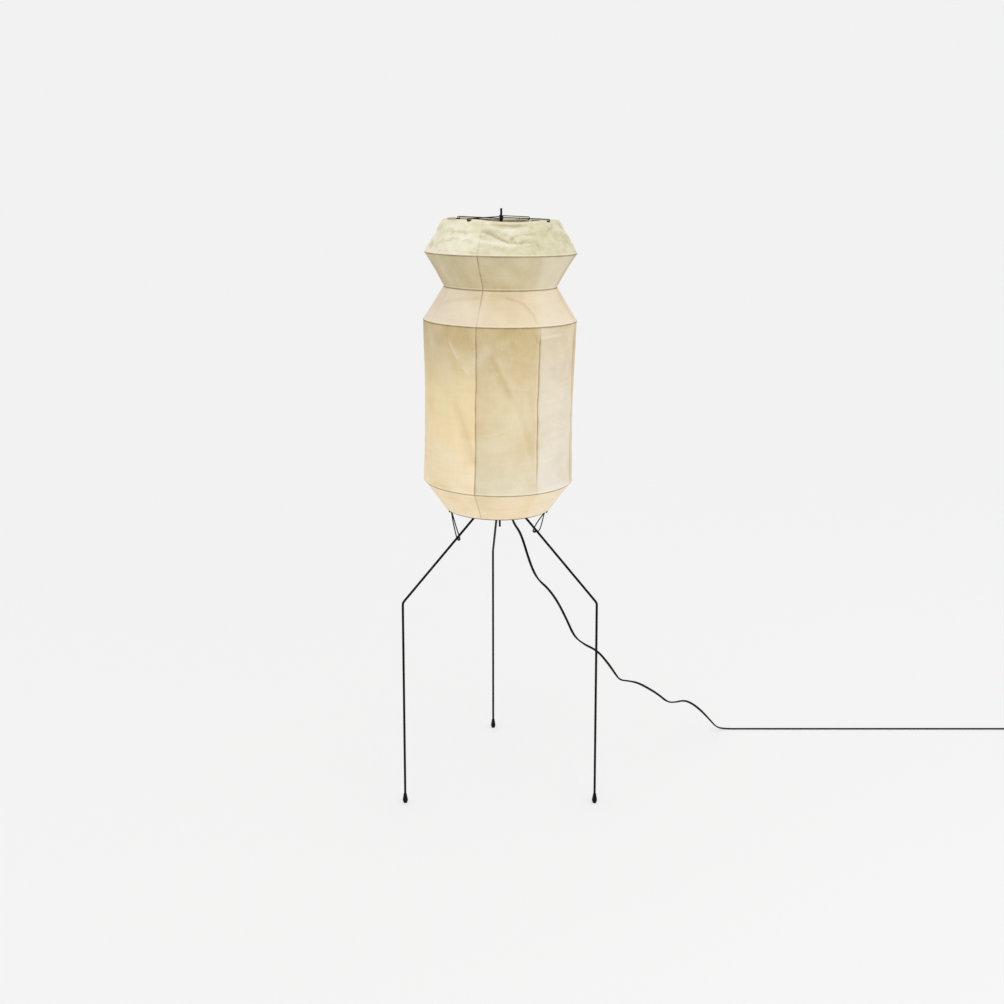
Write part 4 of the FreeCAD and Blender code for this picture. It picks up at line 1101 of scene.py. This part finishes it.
    # Painted shade along the creases and in the hollows, if below 0, and painted highlight on the
    # ridges, if above.
    shade_and_highlight_marks: tuple[Mark, ...] = (
        Mark(((226, 31), (232, 30), (240, 30), (248, 29)), -0.50, 5.0),
        Mark(((255, 29), (261, 32), (266, 39), (271, 46)), -0.55, 4.6),
        Mark(((271, 46), (276, 52), (281, 53), (287, 54)), -0.60, 2.4),
        Mark(((279, 44), (283, 38), (289, 34), (298, 32)), -0.45, 2.6),
        Mark(((217, 45), (222, 45)), 1.60, 1.3),
        Mark(((236, 45), (241, 46)), 1.60, 1.3),
        Mark(((246, 47), (250, 50), (255, 52)), 1.10, 1.2),
        Mark(((287, 55), (293, 56)), 1.50, 1.3),
        Mark(((281, 40), (285, 36), (291, 33)), 1.00, 1.1),
        Mark(((246, 62), (252, 60)), 0.90, 1.1),
        Mark(((262, 15), (269, 15), (276, 14), (292, 10)), -0.60, 1.6),
        Mark(((262, 7), (271, 8), (280, 9), (288, 7)), -0.80, 3.0),
        Mark(((249, 69), (255, 73), (259, 71)), -0.60, 1.3),
        Mark(((297, 51), (299, 57), (300, 62)), -0.50, 1.6),
        Mark(((293, 7), (299, 16), (295, 23)), -0.40, 1.8),
        Mark(((326, 12), (316, 26), (310, 38)), -0.40, 5.0),
        Mark(((223, 34), (220, 52)), -0.25, 6.0),
        Mark(((220, 43), (226, 43)), 0.90, 2.2),
        Mark(((238, 44), (244, 45)), 0.90, 2.4),
        Mark(((249, 50), (253, 52), (262, 56), (269, 59), (279, 61)), 0.70, 5.5),
        Mark(((263, 19), (280, 20)), 0.45, 4.0),
        Mark(((270, 27), (278, 28), (276, 38)), 0.55, 5.0),
        Mark(((212, 18), (244, 19)), 0.30, 7.0),
        Mark(((276, 192), (290, 205), (297, 233), (298, 253)), -0.42, 3.4),
        Mark(((214, 212), (230, 200), (251, 192)), -0.30, 5.0),
        Mark(((262, 186), (290, 190)), -0.22, 6.0),
        Mark(((231, 305), (238, 337)), 0.50, 1.6),
        Mark(((243, 357), (247, 373)), 0.45, 1.6),
        Mark(((236, 440), (244, 500), (251, 570)), -0.30, 10.0),
        Mark(((264, 334), (278, 420)), -0.34, 8.0),
        Mark(((269, 334), (282, 415)), 0.20, 6.0),
        Mark(((287, 445), (297, 560)), -0.25, 9.0),
        Mark(((268, 520), (280, 570), (286, 620)), 0.16, 20.0),
        Mark(((261, 508), (272, 498)), 0.22, 2.0),
        Mark(((277, 395), (297, 405)), 0.14, 4.0),
        # Painted highlight inside the back of the rim, where its wall is in shade.
        Mark(((60, 6), (90, 6), (120, 6)), 0.45, 9.0),
        Mark(((295, 281), (299, 301)), -0.50, 1.7),
        Mark(((301, 288), (320, 286)), 0.40, 3.0),
        Mark(((294, 400), (298, 520)), -0.25, 8.0),
    )

    def __post_init__(self) -> None:
        """Work out where each fold lies along the paper's outline."""
        self.starts = [0.0]
        for first, second in zip(self.folds, self.folds[1:]):
            self.starts.append(self.starts[-1] + math.hypot(second.radius - first.radius,
                                                            second.height - first.height))

    def build(self) -> None:
        """Make the gores and the rim's hoop, and dress the other wires."""
        for index in range(len(self.lots)):
            self.make_gore(index)
        self.make_hoop()
        for fold in self.folds[1:]:
            dress_node(f"{fold.name}_ring", RING_WIRE)
        for name in ("cross_wire_lower", "cross_wire_upper"):
            dress_node(name, BLACK_WIRE)

    def hoop_drop(self, azimuth: float) -> float:
        """Work out how far the rim's hoop sags below its eyes.

        Args:
            azimuth: Where, round the lantern.

        Returns:
            The sag.
        """
        marks = [*self.eyes, self.eyes[0] + 360]
        turn = (azimuth - marks[0]) % 360 + marks[0]
        for start, end, sag in zip(marks, marks[1:], self.eye_sags):
            if turn <= end:
                return sag * math.sin(math.pi * (turn - start) / (end - start)) ** 2
        return 0.0

    def edge_drop(self, azimuth: float) -> float:
        """Work out how far the paper's top edge lies below the plain rim.

        Args:
            azimuth: Where, round the lantern.

        Returns:
            The drop.
        """
        drop = self.hoop_drop(azimuth) + self.edge_gap
        for eye in self.eyes:
            away = abs((azimuth - eye + 180) % 360 - 180) * math.radians(1) * self.folds[0].radius
            drop += self.notch_depth * math.exp(-(away / self.notch_width) ** 4)
        return drop + self.edge_waver * noise.noise(polar(3.4, azimuth))

    def outline(self, run: float) -> tuple[float, float, Vector, int, float]:
        """Find the plain outline at a run from the rim.

        Args:
            run: The distance along the paper from the plain rim.

        Returns:
            Radius, height, outward normal in the outline's plane, band and share of the band.
        """
        band = 0
        while band < LOW_BAND and run > self.starts[band + 1]:
            band += 1
        first, second = self.folds[band], self.folds[band + 1]
        length = self.starts[band + 1] - self.starts[band]
        share = (run - self.starts[band]) / length
        along = Vector((second.radius - first.radius, 0, second.height - first.height)) / length
        return (first.radius + (second.radius - first.radius) * share,
                first.height + (second.height - first.height) * share,
                Vector((-along.z, 0, along.x)), band, share)

    def crumple(self, azimuth: float, radius: float, height: float, band: int) -> float:
        """Work out the paper's own crumpling at a place.

        Args:
            azimuth: Where it is, round the lantern.
            radius: The plain outline's radius there.
            height: Its height there.
            band: Its band.

        Returns:
            How far the paper stands out of its plain form.
        """
        spot = polar(radius, azimuth, height)
        size = self.crumples[band]
        if band == TOP_BAND:
            broad_length, sharp_length, small_length = self.rim_lengths
            aside = abs((azimuth - self.calm_azimuth + 180) % 360 - 180)
            calm = 1 - self.calm_share * smooth_step(1.6 - aside / 42)
            warp = Vector((noise.noise(spot / broad_length),
                           noise.noise(spot / broad_length + Vector((9, 0, 0))), 0)) * 16
            sharp = abs(noise.noise((spot + warp) / sharp_length + Vector((3, 1, 7))))
            small = abs(noise.noise((spot + warp) / small_length + Vector((5, 2, 1))))
            return calm * size * ((0.62 - 2.3 * sharp) + 0.42 * (0.5 - 2.0 * small))
        swell_length, ridge_length, ripple_length = self.band_lengths
        slanted = Vector((spot.x, spot.y, spot.z * 0.45 + azimuth * 0.35))
        broad = noise.noise(slanted / swell_length + Vector((2, 6, band)))
        ridge = abs(noise.noise(slanted / ridge_length + Vector((7, band, 3))))
        fine = noise.noise(spot / ripple_length + Vector((band, 4, 2)))
        return size * (1.2 * broad + 0.9 * (0.35 - 1.6 * ridge) + 0.22 * fine)

    def facet(self, spot: Vector) -> float:
        """Paint shade and highlight on the crumpled paper's flat facets.

        Args:
            spot: The place on the plain outline.

        Returns:
            How much painted highlight, above 0, or painted shade, below 0, the facet has there.
        """
        found = 0.0
        for size, weight in self.facets:
            warp = Vector((noise.noise(spot / size), noise.noise(spot / size + Vector((4, 0, 0))),
                           noise.noise(spot / size + Vector((0, 4, 0))))) * 0.45
            away, centres = noise.voronoi(spot / size + warp + Vector((size, 0, 0)))
            chance = math.sin(centres[0].dot(Vector((12.9, 78.2, 37.7)))) * 437.5 % 1
            # Each facet is painted paler or darker by chance, and its border gets a painted highlight or
            # shade.
            border = 1 - smooth_step((away[1] - away[0]) / 0.10)
            edge = 0.9 if chance > 0.55 else -0.5
            found += weight * ((chance * 2 - 1) * (1 - border) + edge * border)
        return found

    def relief(self, azimuth: float, run: float) -> float:
        """Work out the crumpling and the creases at a place, held flat at the folds.

        Args:
            azimuth: Where it is, round the lantern.
            run: Where it is, down the paper.

        Returns:
            How far the paper stands out of its plain form.
        """
        radius, height, _, band, share = self.outline(run)
        length = self.starts[band + 1] - self.starts[band]
        from_fold = min(share, 1 - share) * length
        if band == TOP_BAND:
            from_fold = min((1 - share) * length, share * length + 7)
        if band == LOW_BAND:
            from_fold = min(share * length, (1 - share) * length + 4)
        lift = self.crumple(azimuth, radius, height, band)
        for crease in self.creases:
            if crease.is_near(azimuth, run):
                lift += crease.amount * math.exp(-crease.distance(azimuth, run, radius) / crease.width)
        return smooth_step(from_fold / self.fold_flat) * lift

    def surface(self, azimuth: float, run: float, lift: float) -> Vector:
        """Place a point of the paper's outer face, in the lantern's frame.

        Args:
            azimuth: Where it is, round the lantern.
            run: Where it is, down the paper.
            lift: How far it stands out of the plain form.

        Returns:
            The point.
        """
        if run < self.starts[1]:
            edge = self.edge_drop(azimuth)
            run = edge + run * (1 - edge / self.starts[1])
        if run > self.starts[-2]:
            run -= self.hem_lift * (run - self.starts[-2]) / (self.starts[-1] - self.starts[-2])
        radius, height, normal, band, share = self.outline(run)
        length = self.starts[band + 1] - self.starts[band]
        from_fold = min(share, 1 - share) * length
        out = lift - self.draws[band] * 4 * share * (1 - share)
        widens = band in (TOP_BAND, NECK_BAND) and share > 0.5
        narrows = band in (SHOULDER_BAND, LOW_BAND) and share < 0.5
        if widens or narrows or band == BODY_BAND:
            out += self.fold_swell * math.exp(-(from_fold / self.fold_swell_width) ** 2)
        spot = Vector((radius, 0, height)) + normal * out
        spot.rotate(Matrix.Rotation(math.radians(azimuth), 3, "Z"))
        return spot

    def sheet_colour(self, lot: Lot, band: int, share: float) -> tuple[float, ...]:
        """Mix a lot's plain colour.

        Args:
            lot: The lot.
            band: The band.
            share: How far down the band.

        Returns:
            A linear colour with alpha.
        """
        tones = self.tones[band]
        body = band == BODY_BAND
        colour = mixed(linear(tones.top), linear(tones.bottom), share ** (0.7 if body else 0.8))
        fade = lot.fades[band] * (0.65 + 0.5 * share if body else 1)
        if body:
            glow = smooth_step(share * 1.9) * (1 - 0.35 * smooth_step((share - 0.62) / 0.38))
            colour = mixed(colour, AMBER_GLOW, lot.amber * glow)
        # Some lots are mixed towards a warm white at their low end.
        low = smooth_step((share - 0.5) / 0.4) if body else self.low_white_shares[band]
        return mixed(mixed(colour, linear(tones.faded), fade), LOW_WARM_WHITE, lot.low_white * low)

    def tone(self, azimuth: float, run: float, index: int, beside: int, away: float,
             slope: float) -> tuple[float, ...]:
        """Mix the paper's colour at a place, with its painted shade and highlight, seams left aside.

        Args:
            azimuth: Where it is, round the lantern.
            run: Where it is, down the paper.
            index: The gore.
            beside: The gore past the nearer seam.
            away: The distance to that seam.
            slope: How steeply the paper stands out further down: the face then looks up and is painted
                paler.

        Returns:
            A linear colour with alpha.
        """
        radius, height, _, band, share = self.outline(run)
        spill = 0.5 - 0.5 * smooth_step(away / self.blends[band])
        colour = mixed(self.sheet_colour(self.lots[index], band, share),
                       self.sheet_colour(self.lots[beside], band, share), spill)
        spot = polar(radius, azimuth, height)
        broad, small = self.drift_sizes
        drift = noise.noise(spot / broad + Vector((4, 4, 4)))
        drift += 0.5 * noise.noise(spot / small + Vector((1, 8, 2)))
        colour = mixed(colour, DRIFT_TAN, max(0.0, drift) * self.tan_shares[band])
        colour = mixed(colour, DRIFT_PALE, max(0.0, -drift) * self.pale_share)
        (long_turn, long_rise), (short_turn, short_rise) = self.streak_sizes
        streak = noise.noise(Vector((azimuth / long_turn, band * 4, height / long_rise)))
        streak += 0.6 * noise.noise(Vector((azimuth / short_turn, band * 4 + 2, height / short_rise)))
        colour = mixed(colour, STREAK_TAN, self.streak_shares[band] * max(0.0, streak))
        # Painted shade and highlight: the slope, the facets and the marks darken or pale the paper as
        # light would.
        shade = slope * self.slope_shades[band]
        if band == TOP_BAND:
            shade += self.facet_shade * self.facet(spot)
        for mark in self.shade_and_highlight_marks:
            if mark.is_near(azimuth, run):
                off = mark.distance(azimuth, run, radius) / mark.width
                shade += mark.amount * math.exp(-off ** 2)
        shade = min(max(shade, -1.0), 1.0)
        # The painted shade and the painted highlight are mixed in.
        dust = RIM_PAINTED_SHADE if band == TOP_BAND else BODY_PAINTED_SHADE
        colour = mixed(colour, dust, max(0.0, -shade) * self.painted_shade_share)
        colour = mixed(colour, PAINTED_HIGHLIGHT, max(0.0, shade) * self.painted_highlight_share)
        # A painted highlight above each fold, and a brown line on it.
        for start in self.starts[1:-1]:
            for tint, (strength, past, width) in zip((FOLD_PAINTED_HIGHLIGHT, FOLD_BROWN), self.fold_lines):
                plain = strength * math.exp(-((run - start - past) / width) ** 2)
                colour = mixed(colour, tint, plain)
        strength, rise = self.hem_line
        return mixed(colour, HEM_BROWN, strength * smooth_step(run - self.starts[-1] + rise))

    def seam_colour(self, colour: Sequence[float], index: int, run: float, away: float,
                    laps: bool) -> tuple[float, ...]:
        """Lay the glued seam over a place's colour, with a painted highlight beside it.

        Args:
            colour: The paper's colour there.
            index: The gore whose first edge the seam is.
            run: Where it is, down the paper.
            away: The distance in millimetres from the seam.
            laps: Whether it is on the gore that laps over.

        Returns:
            A linear colour with alpha.
        """
        _, _, _, band, share = self.outline(run)
        mark = self.seam_marks[index][band]
        # Down the body, the second seam fades out at both ends.
        if band == BODY_BAND and index == 1:
            mark *= smooth_step((share - 0.03) / 0.08) * smooth_step((0.96 - share) / 0.12)
        # The front seam fades down the neck.
        if band == NECK_BAND and index == 0:
            mark *= 1 - 0.75 * smooth_step((share - 0.25) / 0.3)
        mark *= 1 + 0.45 * noise.noise(Vector((run / 22, index * 3.7, 5)))
        colour = mixed(colour, SEAM_BROWN, max(0.0, mark) * math.exp(-(away / self.seam_line_width) ** 2))
        if laps:
            lapped = smooth_step((self.seam_lap + 2 - away) / 2)
            return mixed(colour, LAP_TAN, self.seam_lap_and_highlight_share * mark * lapped)
        # A painted highlight beside the seam, on the gore that is lapped over.
        edge = math.exp(-((away - 3.4) / 1.5) ** 2)
        return mixed(colour, SEAM_PAINTED_HIGHLIGHT, self.seam_lap_and_highlight_share * mark * edge)

    def rows(self) -> list[float]:
        """Lay out the rows of the paper along its outline, closer at the folds.

        Returns:
            Each row's run from the rim.
        """
        found = []
        beside = self.fold_rows[-1]
        for start, end in zip(self.starts, self.starts[1:]):
            span = end - start - 2 * beside
            count = round(span / self.row_step)
            found += [start + reach for reach in self.fold_rows]
            found += [start + beside + span * index / count for index in range(1, count + 1)]
            found += [end - reach for reach in self.fold_rows[-2:0:-1]]
        return found + [self.starts[-1]]

    def columns_at(self, run: float, index: int) -> list[tuple[float, float]]:
        """Lay out the places along a row, closer at the seams.

        Args:
            run: Where the row is, down the paper.
            index: The gore.

        Returns:
            Each place as (azimuth, distance from the gore's first edge).
        """
        last = len(self.seam_columns) - 1
        beside = self.seam_columns[last]
        radius = self.outline(run)[0]
        edges = []
        for seam in (index, index + 1):
            wander = self.seam_wander * noise.noise(Vector((run / 46, (seam % len(self.lots)) * 5.3, 2)))
            edges.append(self.seams[seam] + math.degrees(wander / radius))
        width = math.radians(edges[1] - edges[0]) * radius
        found = []
        for column in range(self.columns + 1):
            if column <= last:
                along = self.seam_columns[column]
            elif column >= self.columns - last:
                along = width - self.seam_columns[self.columns - column]
            else:
                along = beside + (width - 2 * beside) * (column - last) / (self.columns - 2 * last)
            found.append((edges[0] + math.degrees(along / radius), along))
        return found

    def make_gore(self, index: int) -> bpy.types.Object:
        """Shape and colour one strip of paper from seam to seam.

        Args:
            index: Which gore, counted round from the front seam.

        Returns:
            The piece.
        """
        rows = self.rows()
        places = [self.columns_at(run, index) for run in rows]
        lifts = [[self.relief(azimuth % 360, run) for azimuth, _ in line]
                 for run, line in zip(rows, places)]
        work = bmesh.new()
        bmesh.ops.create_grid(work, x_segments=self.columns, y_segments=len(rows) - 1, size=1.0)
        tones = work.verts.layers.float_color.new("Tone")
        for vertex in work.verts:
            column = round((vertex.co.x + 1) / 2 * self.columns)
            row = round((1 - vertex.co.y) / 2 * (len(rows) - 1))
            run = rows[row]
            azimuth, along = places[row][column]
            azimuth %= 360
            before, after = max(row - 1, 0), min(row + 1, len(rows) - 1)
            slope = (lifts[after][column] - lifts[before][column]) / (rows[after] - rows[before])
            laps = along < places[row][-1][1] / 2
            away = along if laps else places[row][-1][1] - along
            plain = min(1.0, 0.1 + 1.6 * self.seam_marks[index][self.outline(run)[3]])
            over = smooth_step((self.seam_lap + 0.8 - along) / 0.8) if laps else 0.0
            lap = self.lap_lift * plain * over
            vertex.co = self.surface(azimuth, run, lifts[row][column] + lap)
            beside = (index - 1 if laps else index + 1) % len(self.lots)
            colour = self.tone(azimuth, run, index, beside, away, slope)
            seam = index if laps else beside
            vertex[tones] = self.seam_colour(colour, seam, run, away, laps)
        self.turn_over_hem(work)
        bmesh.ops.recalc_face_normals(work, faces=work.faces)
        outward = polar(1, (self.seams[index] + self.seams[index + 1]) / 2)
        if sum(face.normal.dot(outward) * face.calc_area() for face in work.faces) < 0:
            bmesh.ops.reverse_faces(work, faces=work.faces)

        def give_wall(piece: bpy.types.Object) -> None:
            """Give the paper its thickness, inwards.

            Args:
                piece: The gore.
            """
            shell = piece.modifiers.new("wall", "SOLIDIFY")
            shell.thickness = self.wall * MM
            shell.offset = -1

        return register(f"washi_gore_{index + 1}", work, LANTERN, WASHI, "root",
                        [f"paper_gore_{index + 1}"], None, give_wall)

    def turn_over_hem(self, work: bmesh.types.BMesh) -> None:
        """Turn a gore's top and bottom edges in over their rings.

        Args:
            work: The gore's mesh.
        """
        above, below = self.folds[0].height - 25, self.folds[-1].height + 6
        for down, turns in ((1, self.top_turn), (-1, self.hem_turn)):
            edges = [edge for edge in work.edges if edge.is_boundary and runs_round(edge)
                     and all(vertex.co.z > above if down > 0 else vertex.co.z < below
                             for vertex in edge.verts)]
            for inward, past in turns:
                made = bmesh.ops.extrude_edge_only(work, edges=edges)["geom"]
                fresh = [item for item in made if isinstance(item, bmesh.types.BMVert)]
                for vertex in fresh:
                    towards = Vector((vertex.co.x, vertex.co.y, 0)).normalized()
                    vertex.co -= towards * inward
                    vertex.co.z -= past * down
                edges = [item for item in made if isinstance(item, bmesh.types.BMEdge)
                         and all(vertex in fresh for vertex in item.verts)]

    def make_hoop(self) -> None:
        """Bend the rim's wire hoop, which sags a little from eye to eye."""
        steps = 180
        frames = []
        for index in range(steps):
            azimuth = 360 * index / steps
            height = self.hoop_height - self.hoop_drop(azimuth)
            frames.append(frame_at(polar(self.hoop_radius, azimuth, height), polar(1, azimuth + 90),
                                   polar(1, azimuth)))
        work = sweep([polar(self.hoop_wire, 36 * side) for side in range(10)], frames, closed=True)
        register("rim_hoop", work, LANTERN, BLACK_WIRE, "root", ["top_rim_ring"], 60)


# ---------------------------------------------------------------- the stand
@dataclass(frozen=True)
class ClipForm:
    """How one clip is bent and where it hangs.

    Attributes:
        name: The leg that it draws the lantern to.
        body: The body that it swings with.
        leg: The leg's azimuth.
        shift: How far round from the leg its hook is.
        reach: Where its bar passes under the leg, from the post.
        hand: Which side its curl is on.
        curl: The curl's radius.
        spread: How far out its plain side wire stands.
        lean: How far the curl's side wire leans out round the leg.
        bow_in: How far the curl's side wire bows inwards.
        bow_out: How far the plain side wire bows outwards.
    """

    name: str
    body: str
    leg: float
    shift: float
    reach: float
    hand: int
    curl: float
    spread: float
    lean: float
    bow_in: float
    bow_out: float


@dataclass
class Stand:
    """The post, the three legs on their rubber feet, the hub, its screw and the clips."""

    clips: tuple[ClipForm, ...] = (
        ClipForm("front_left", "clip_left", 209.8, -4.3, 119.0, 1, 2.6, 6.6, 5.8, 0.0, 0.0),
        ClipForm("front_right", "clip_right", 330.0, 6.7, 100.0, -1, 3.6, 8.0, 0.0, 4.5, 7.0),
        ClipForm("back", "clip_rear", 94.2, 0.0, 104.0, 1, 2.8, 5.5, 0.5, 1.0, 2.0),
    )
    clip_wire: float = 1.4
    # How far a clip's two wires are apart at the ring, how wide it hooks over it, and how far its
    # sides and its bar clear the leg.
    clip_apart: float = 1.55
    clip_hook: float = 2.4
    clip_gap: float = 0.5
    bar_gap: float = 0.1
    # How far down the curl's side wire bows most, and how the plain one bows as (share, bulge).
    clip_bow: float = 0.64
    clip_bulges: tuple[tuple[float, float], ...] = (
        (0.99, 0.9), (0.84, 1.0), (0.64, 0.72), (0.42, 0.33), (0.2, 0.05),
    )
    leg_radius: float = 2.85
    # The leg's foot, bend and hub end, as (reach, height), and how tightly it is bent.
    leg_corners: tuple[tuple[float, float], ...] = ((271.5, 8.05), (265.0, 527.4), (6.5, 770.6))
    bend_radius: float = 12.0
    leg_meet: float = 776.7
    leg_slope: float = 0.9408
    ring_radius: float = 125.36
    ring_height: float = 730.27

    def build(self) -> None:
        """Dress the rods, the hub and the feet, and bend the clips."""
        for name in ("post", "post_top_collar", "leg_hub"):
            dress_node(name, STEEL_ENAMEL)
        for form in self.clips:
            dress_node(f"foot_{form.name}", FERRULE_RUBBER)
            self.make_leg(form)
            self.make_clip(form)
        dress_node("thumb_screw", KNURLED_STEEL)

    def make_leg(self, form: ClipForm) -> None:
        """Bend the rod that a clip hooks under.

        Args:
            form: The clip, which names the leg.
        """
        foot, bend, end = (polar(reach, form.leg, height) for reach, height in self.leg_corners)
        down, up = (foot - bend).normalized(), (end - bend).normalized()
        half = down.angle(up) / 2
        centre = bend + (down + up).normalized() * self.bend_radius / math.sin(half)
        first, last = (bend + way * self.bend_radius / math.tan(half) - centre for way in (down, up))
        turns = (first.slerp(last, step / 8).normalized() * self.bend_radius for step in range(9))
        path = [foot, *(centre + turn for turn in turns), end]
        register(f"rod_leg_{form.name}", round_wire(path, self.leg_radius, 20), STAND, STEEL_ENAMEL,
                 "root", [f"leg_{form.name}"], 60)

    def clip_place(self, form: ClipForm) -> tuple[Matrix, float, float]:
        """Work out where a clip hangs.

        Args:
            form: The clip.

        Returns:
            Its frame, with +X along the ring and -Z down to the bar, its length, and how far
            along +X the bar passes under the leg.
        """
        tilt = STAND.inverted() @ LANTERN
        centre = tilt @ Vector((0, 0, self.ring_height))
        normal = tilt.to_3x3() @ Vector((0, 0, 1))
        outward = polar(1, form.leg + form.shift)
        sideways = centre.cross(outward).z
        top = outward * (centre.dot(outward) + math.sqrt(self.ring_radius ** 2 - sideways ** 2))
        top.z = centre.z - ((top - centre).x * normal.x + (top - centre).y * normal.y) / normal.z
        under = polar(-self.leg_slope, form.leg, -1).normalized()
        bar = polar(form.reach, form.leg, self.leg_meet - self.leg_slope * form.reach)
        bar += under * (self.leg_radius + self.clip_wire + self.bar_gap)
        across = Vector((-outward.y, outward.x, 0))
        aside = (bar - top).dot(across)
        down = bar - top - across * aside
        upward = -down.normalized()
        turn = Matrix((across, upward.cross(across), upward)).transposed()
        return STAND @ Matrix.Translation(top) @ turn.to_4x4(), down.length, aside

    def make_clip(self, form: ClipForm) -> None:
        """Bend a clip: hooked over the ring, down both sides of the leg and curled at one end.

        Args:
            form: The clip.
        """
        place, length, aside = self.clip_place(form)
        apart, hook, wire, curl = self.clip_apart, self.clip_hook, self.clip_wire, form.curl
        bow = self.clip_bow
        middle = form.hand * aside
        near = middle + self.leg_radius + wire + self.clip_gap
        far = middle - self.leg_radius - wire - self.clip_gap
        points = [(apart, -hook, -2.0), (apart, -hook, hook), (apart, hook, hook), (apart, hook, -4.0),
                  (bow * near + (1 - bow) * apart + form.lean, form.bow_in + 0.3 * hook, -bow * length)]
        points += [(near + 2 * wire, curl, -length + 3 * curl), (near + 2 * wire, curl, -length),
                   (near + 1.5 * wire, -curl, -length), (near + wire, -curl, -length + 2 * curl),
                   (near + 0.5 * wire, curl, -length + 2 * curl), (near, curl, -length),
                   (near - wire, 0.0, -length), (far, 0.0, -length)]
        for share, bulge in self.clip_bulges:
            side = middle * share - max(form.spread * min(1.0, 2.6 * share), apart)
            points.append((side, hook * (1 - share) - form.bow_out * bulge, -length * share))
        points += [(-apart, hook, -4.0), (-apart, hook, hook), (-apart, -hook, hook),
                   (-apart, -hook, -2.0)]
        line = smooth_line([Vector((form.hand * x, y, z)) for x, y, z in points])
        register(f"wire_clip_{form.name}", round_wire(line, wire), place, BLACK_WIRE, form.body,
                 [f"clip_{form.name}"], 60)


@dataclass
class Lampholder:
    """The bracket on the post and the lampholder that it carries."""

    def build(self) -> None:
        """Dress the holder's pieces."""
        for name in ("holder_bracket", "bracket_screw", "holder_nipple", "nipple_nut"):
            dress_node(name, ZINC_STEEL)
        for name in ("holder_cup", "holder_shell", "switch_knob"):
            dress_node(name, PHENOLIC)
        dress_node("socket_insulator", PORCELAIN)
        dress_node("holder_liner", FIBRE_LINER)
        for name in ("socket_screw_shell", "centre_contact"):
            dress_node(name, BRASS)


@dataclass
class Bulb:
    """The bulb."""

    def build(self) -> None:
        """Dress the bulb's pieces."""
        dress_node("bulb_glass", BULB_GLASS)
        dress_node("bulb_cap", CAP_METAL)
        dress_node("bulb_tip", BRASS)


def main() -> None:
    """Load the frame and build each sub-assembly in order, logging each as it is built."""
    logging.basicConfig(level=logging.INFO, format="%(name)s: %(message)s")
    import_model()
    for assembly in (Studio(), MainsLead(), Lantern(), Stand(), Lampholder(), Bulb()):
        assembly.build()
        log.info("%s built", type(assembly).__name__)


if __name__ == "__main__":
    main()
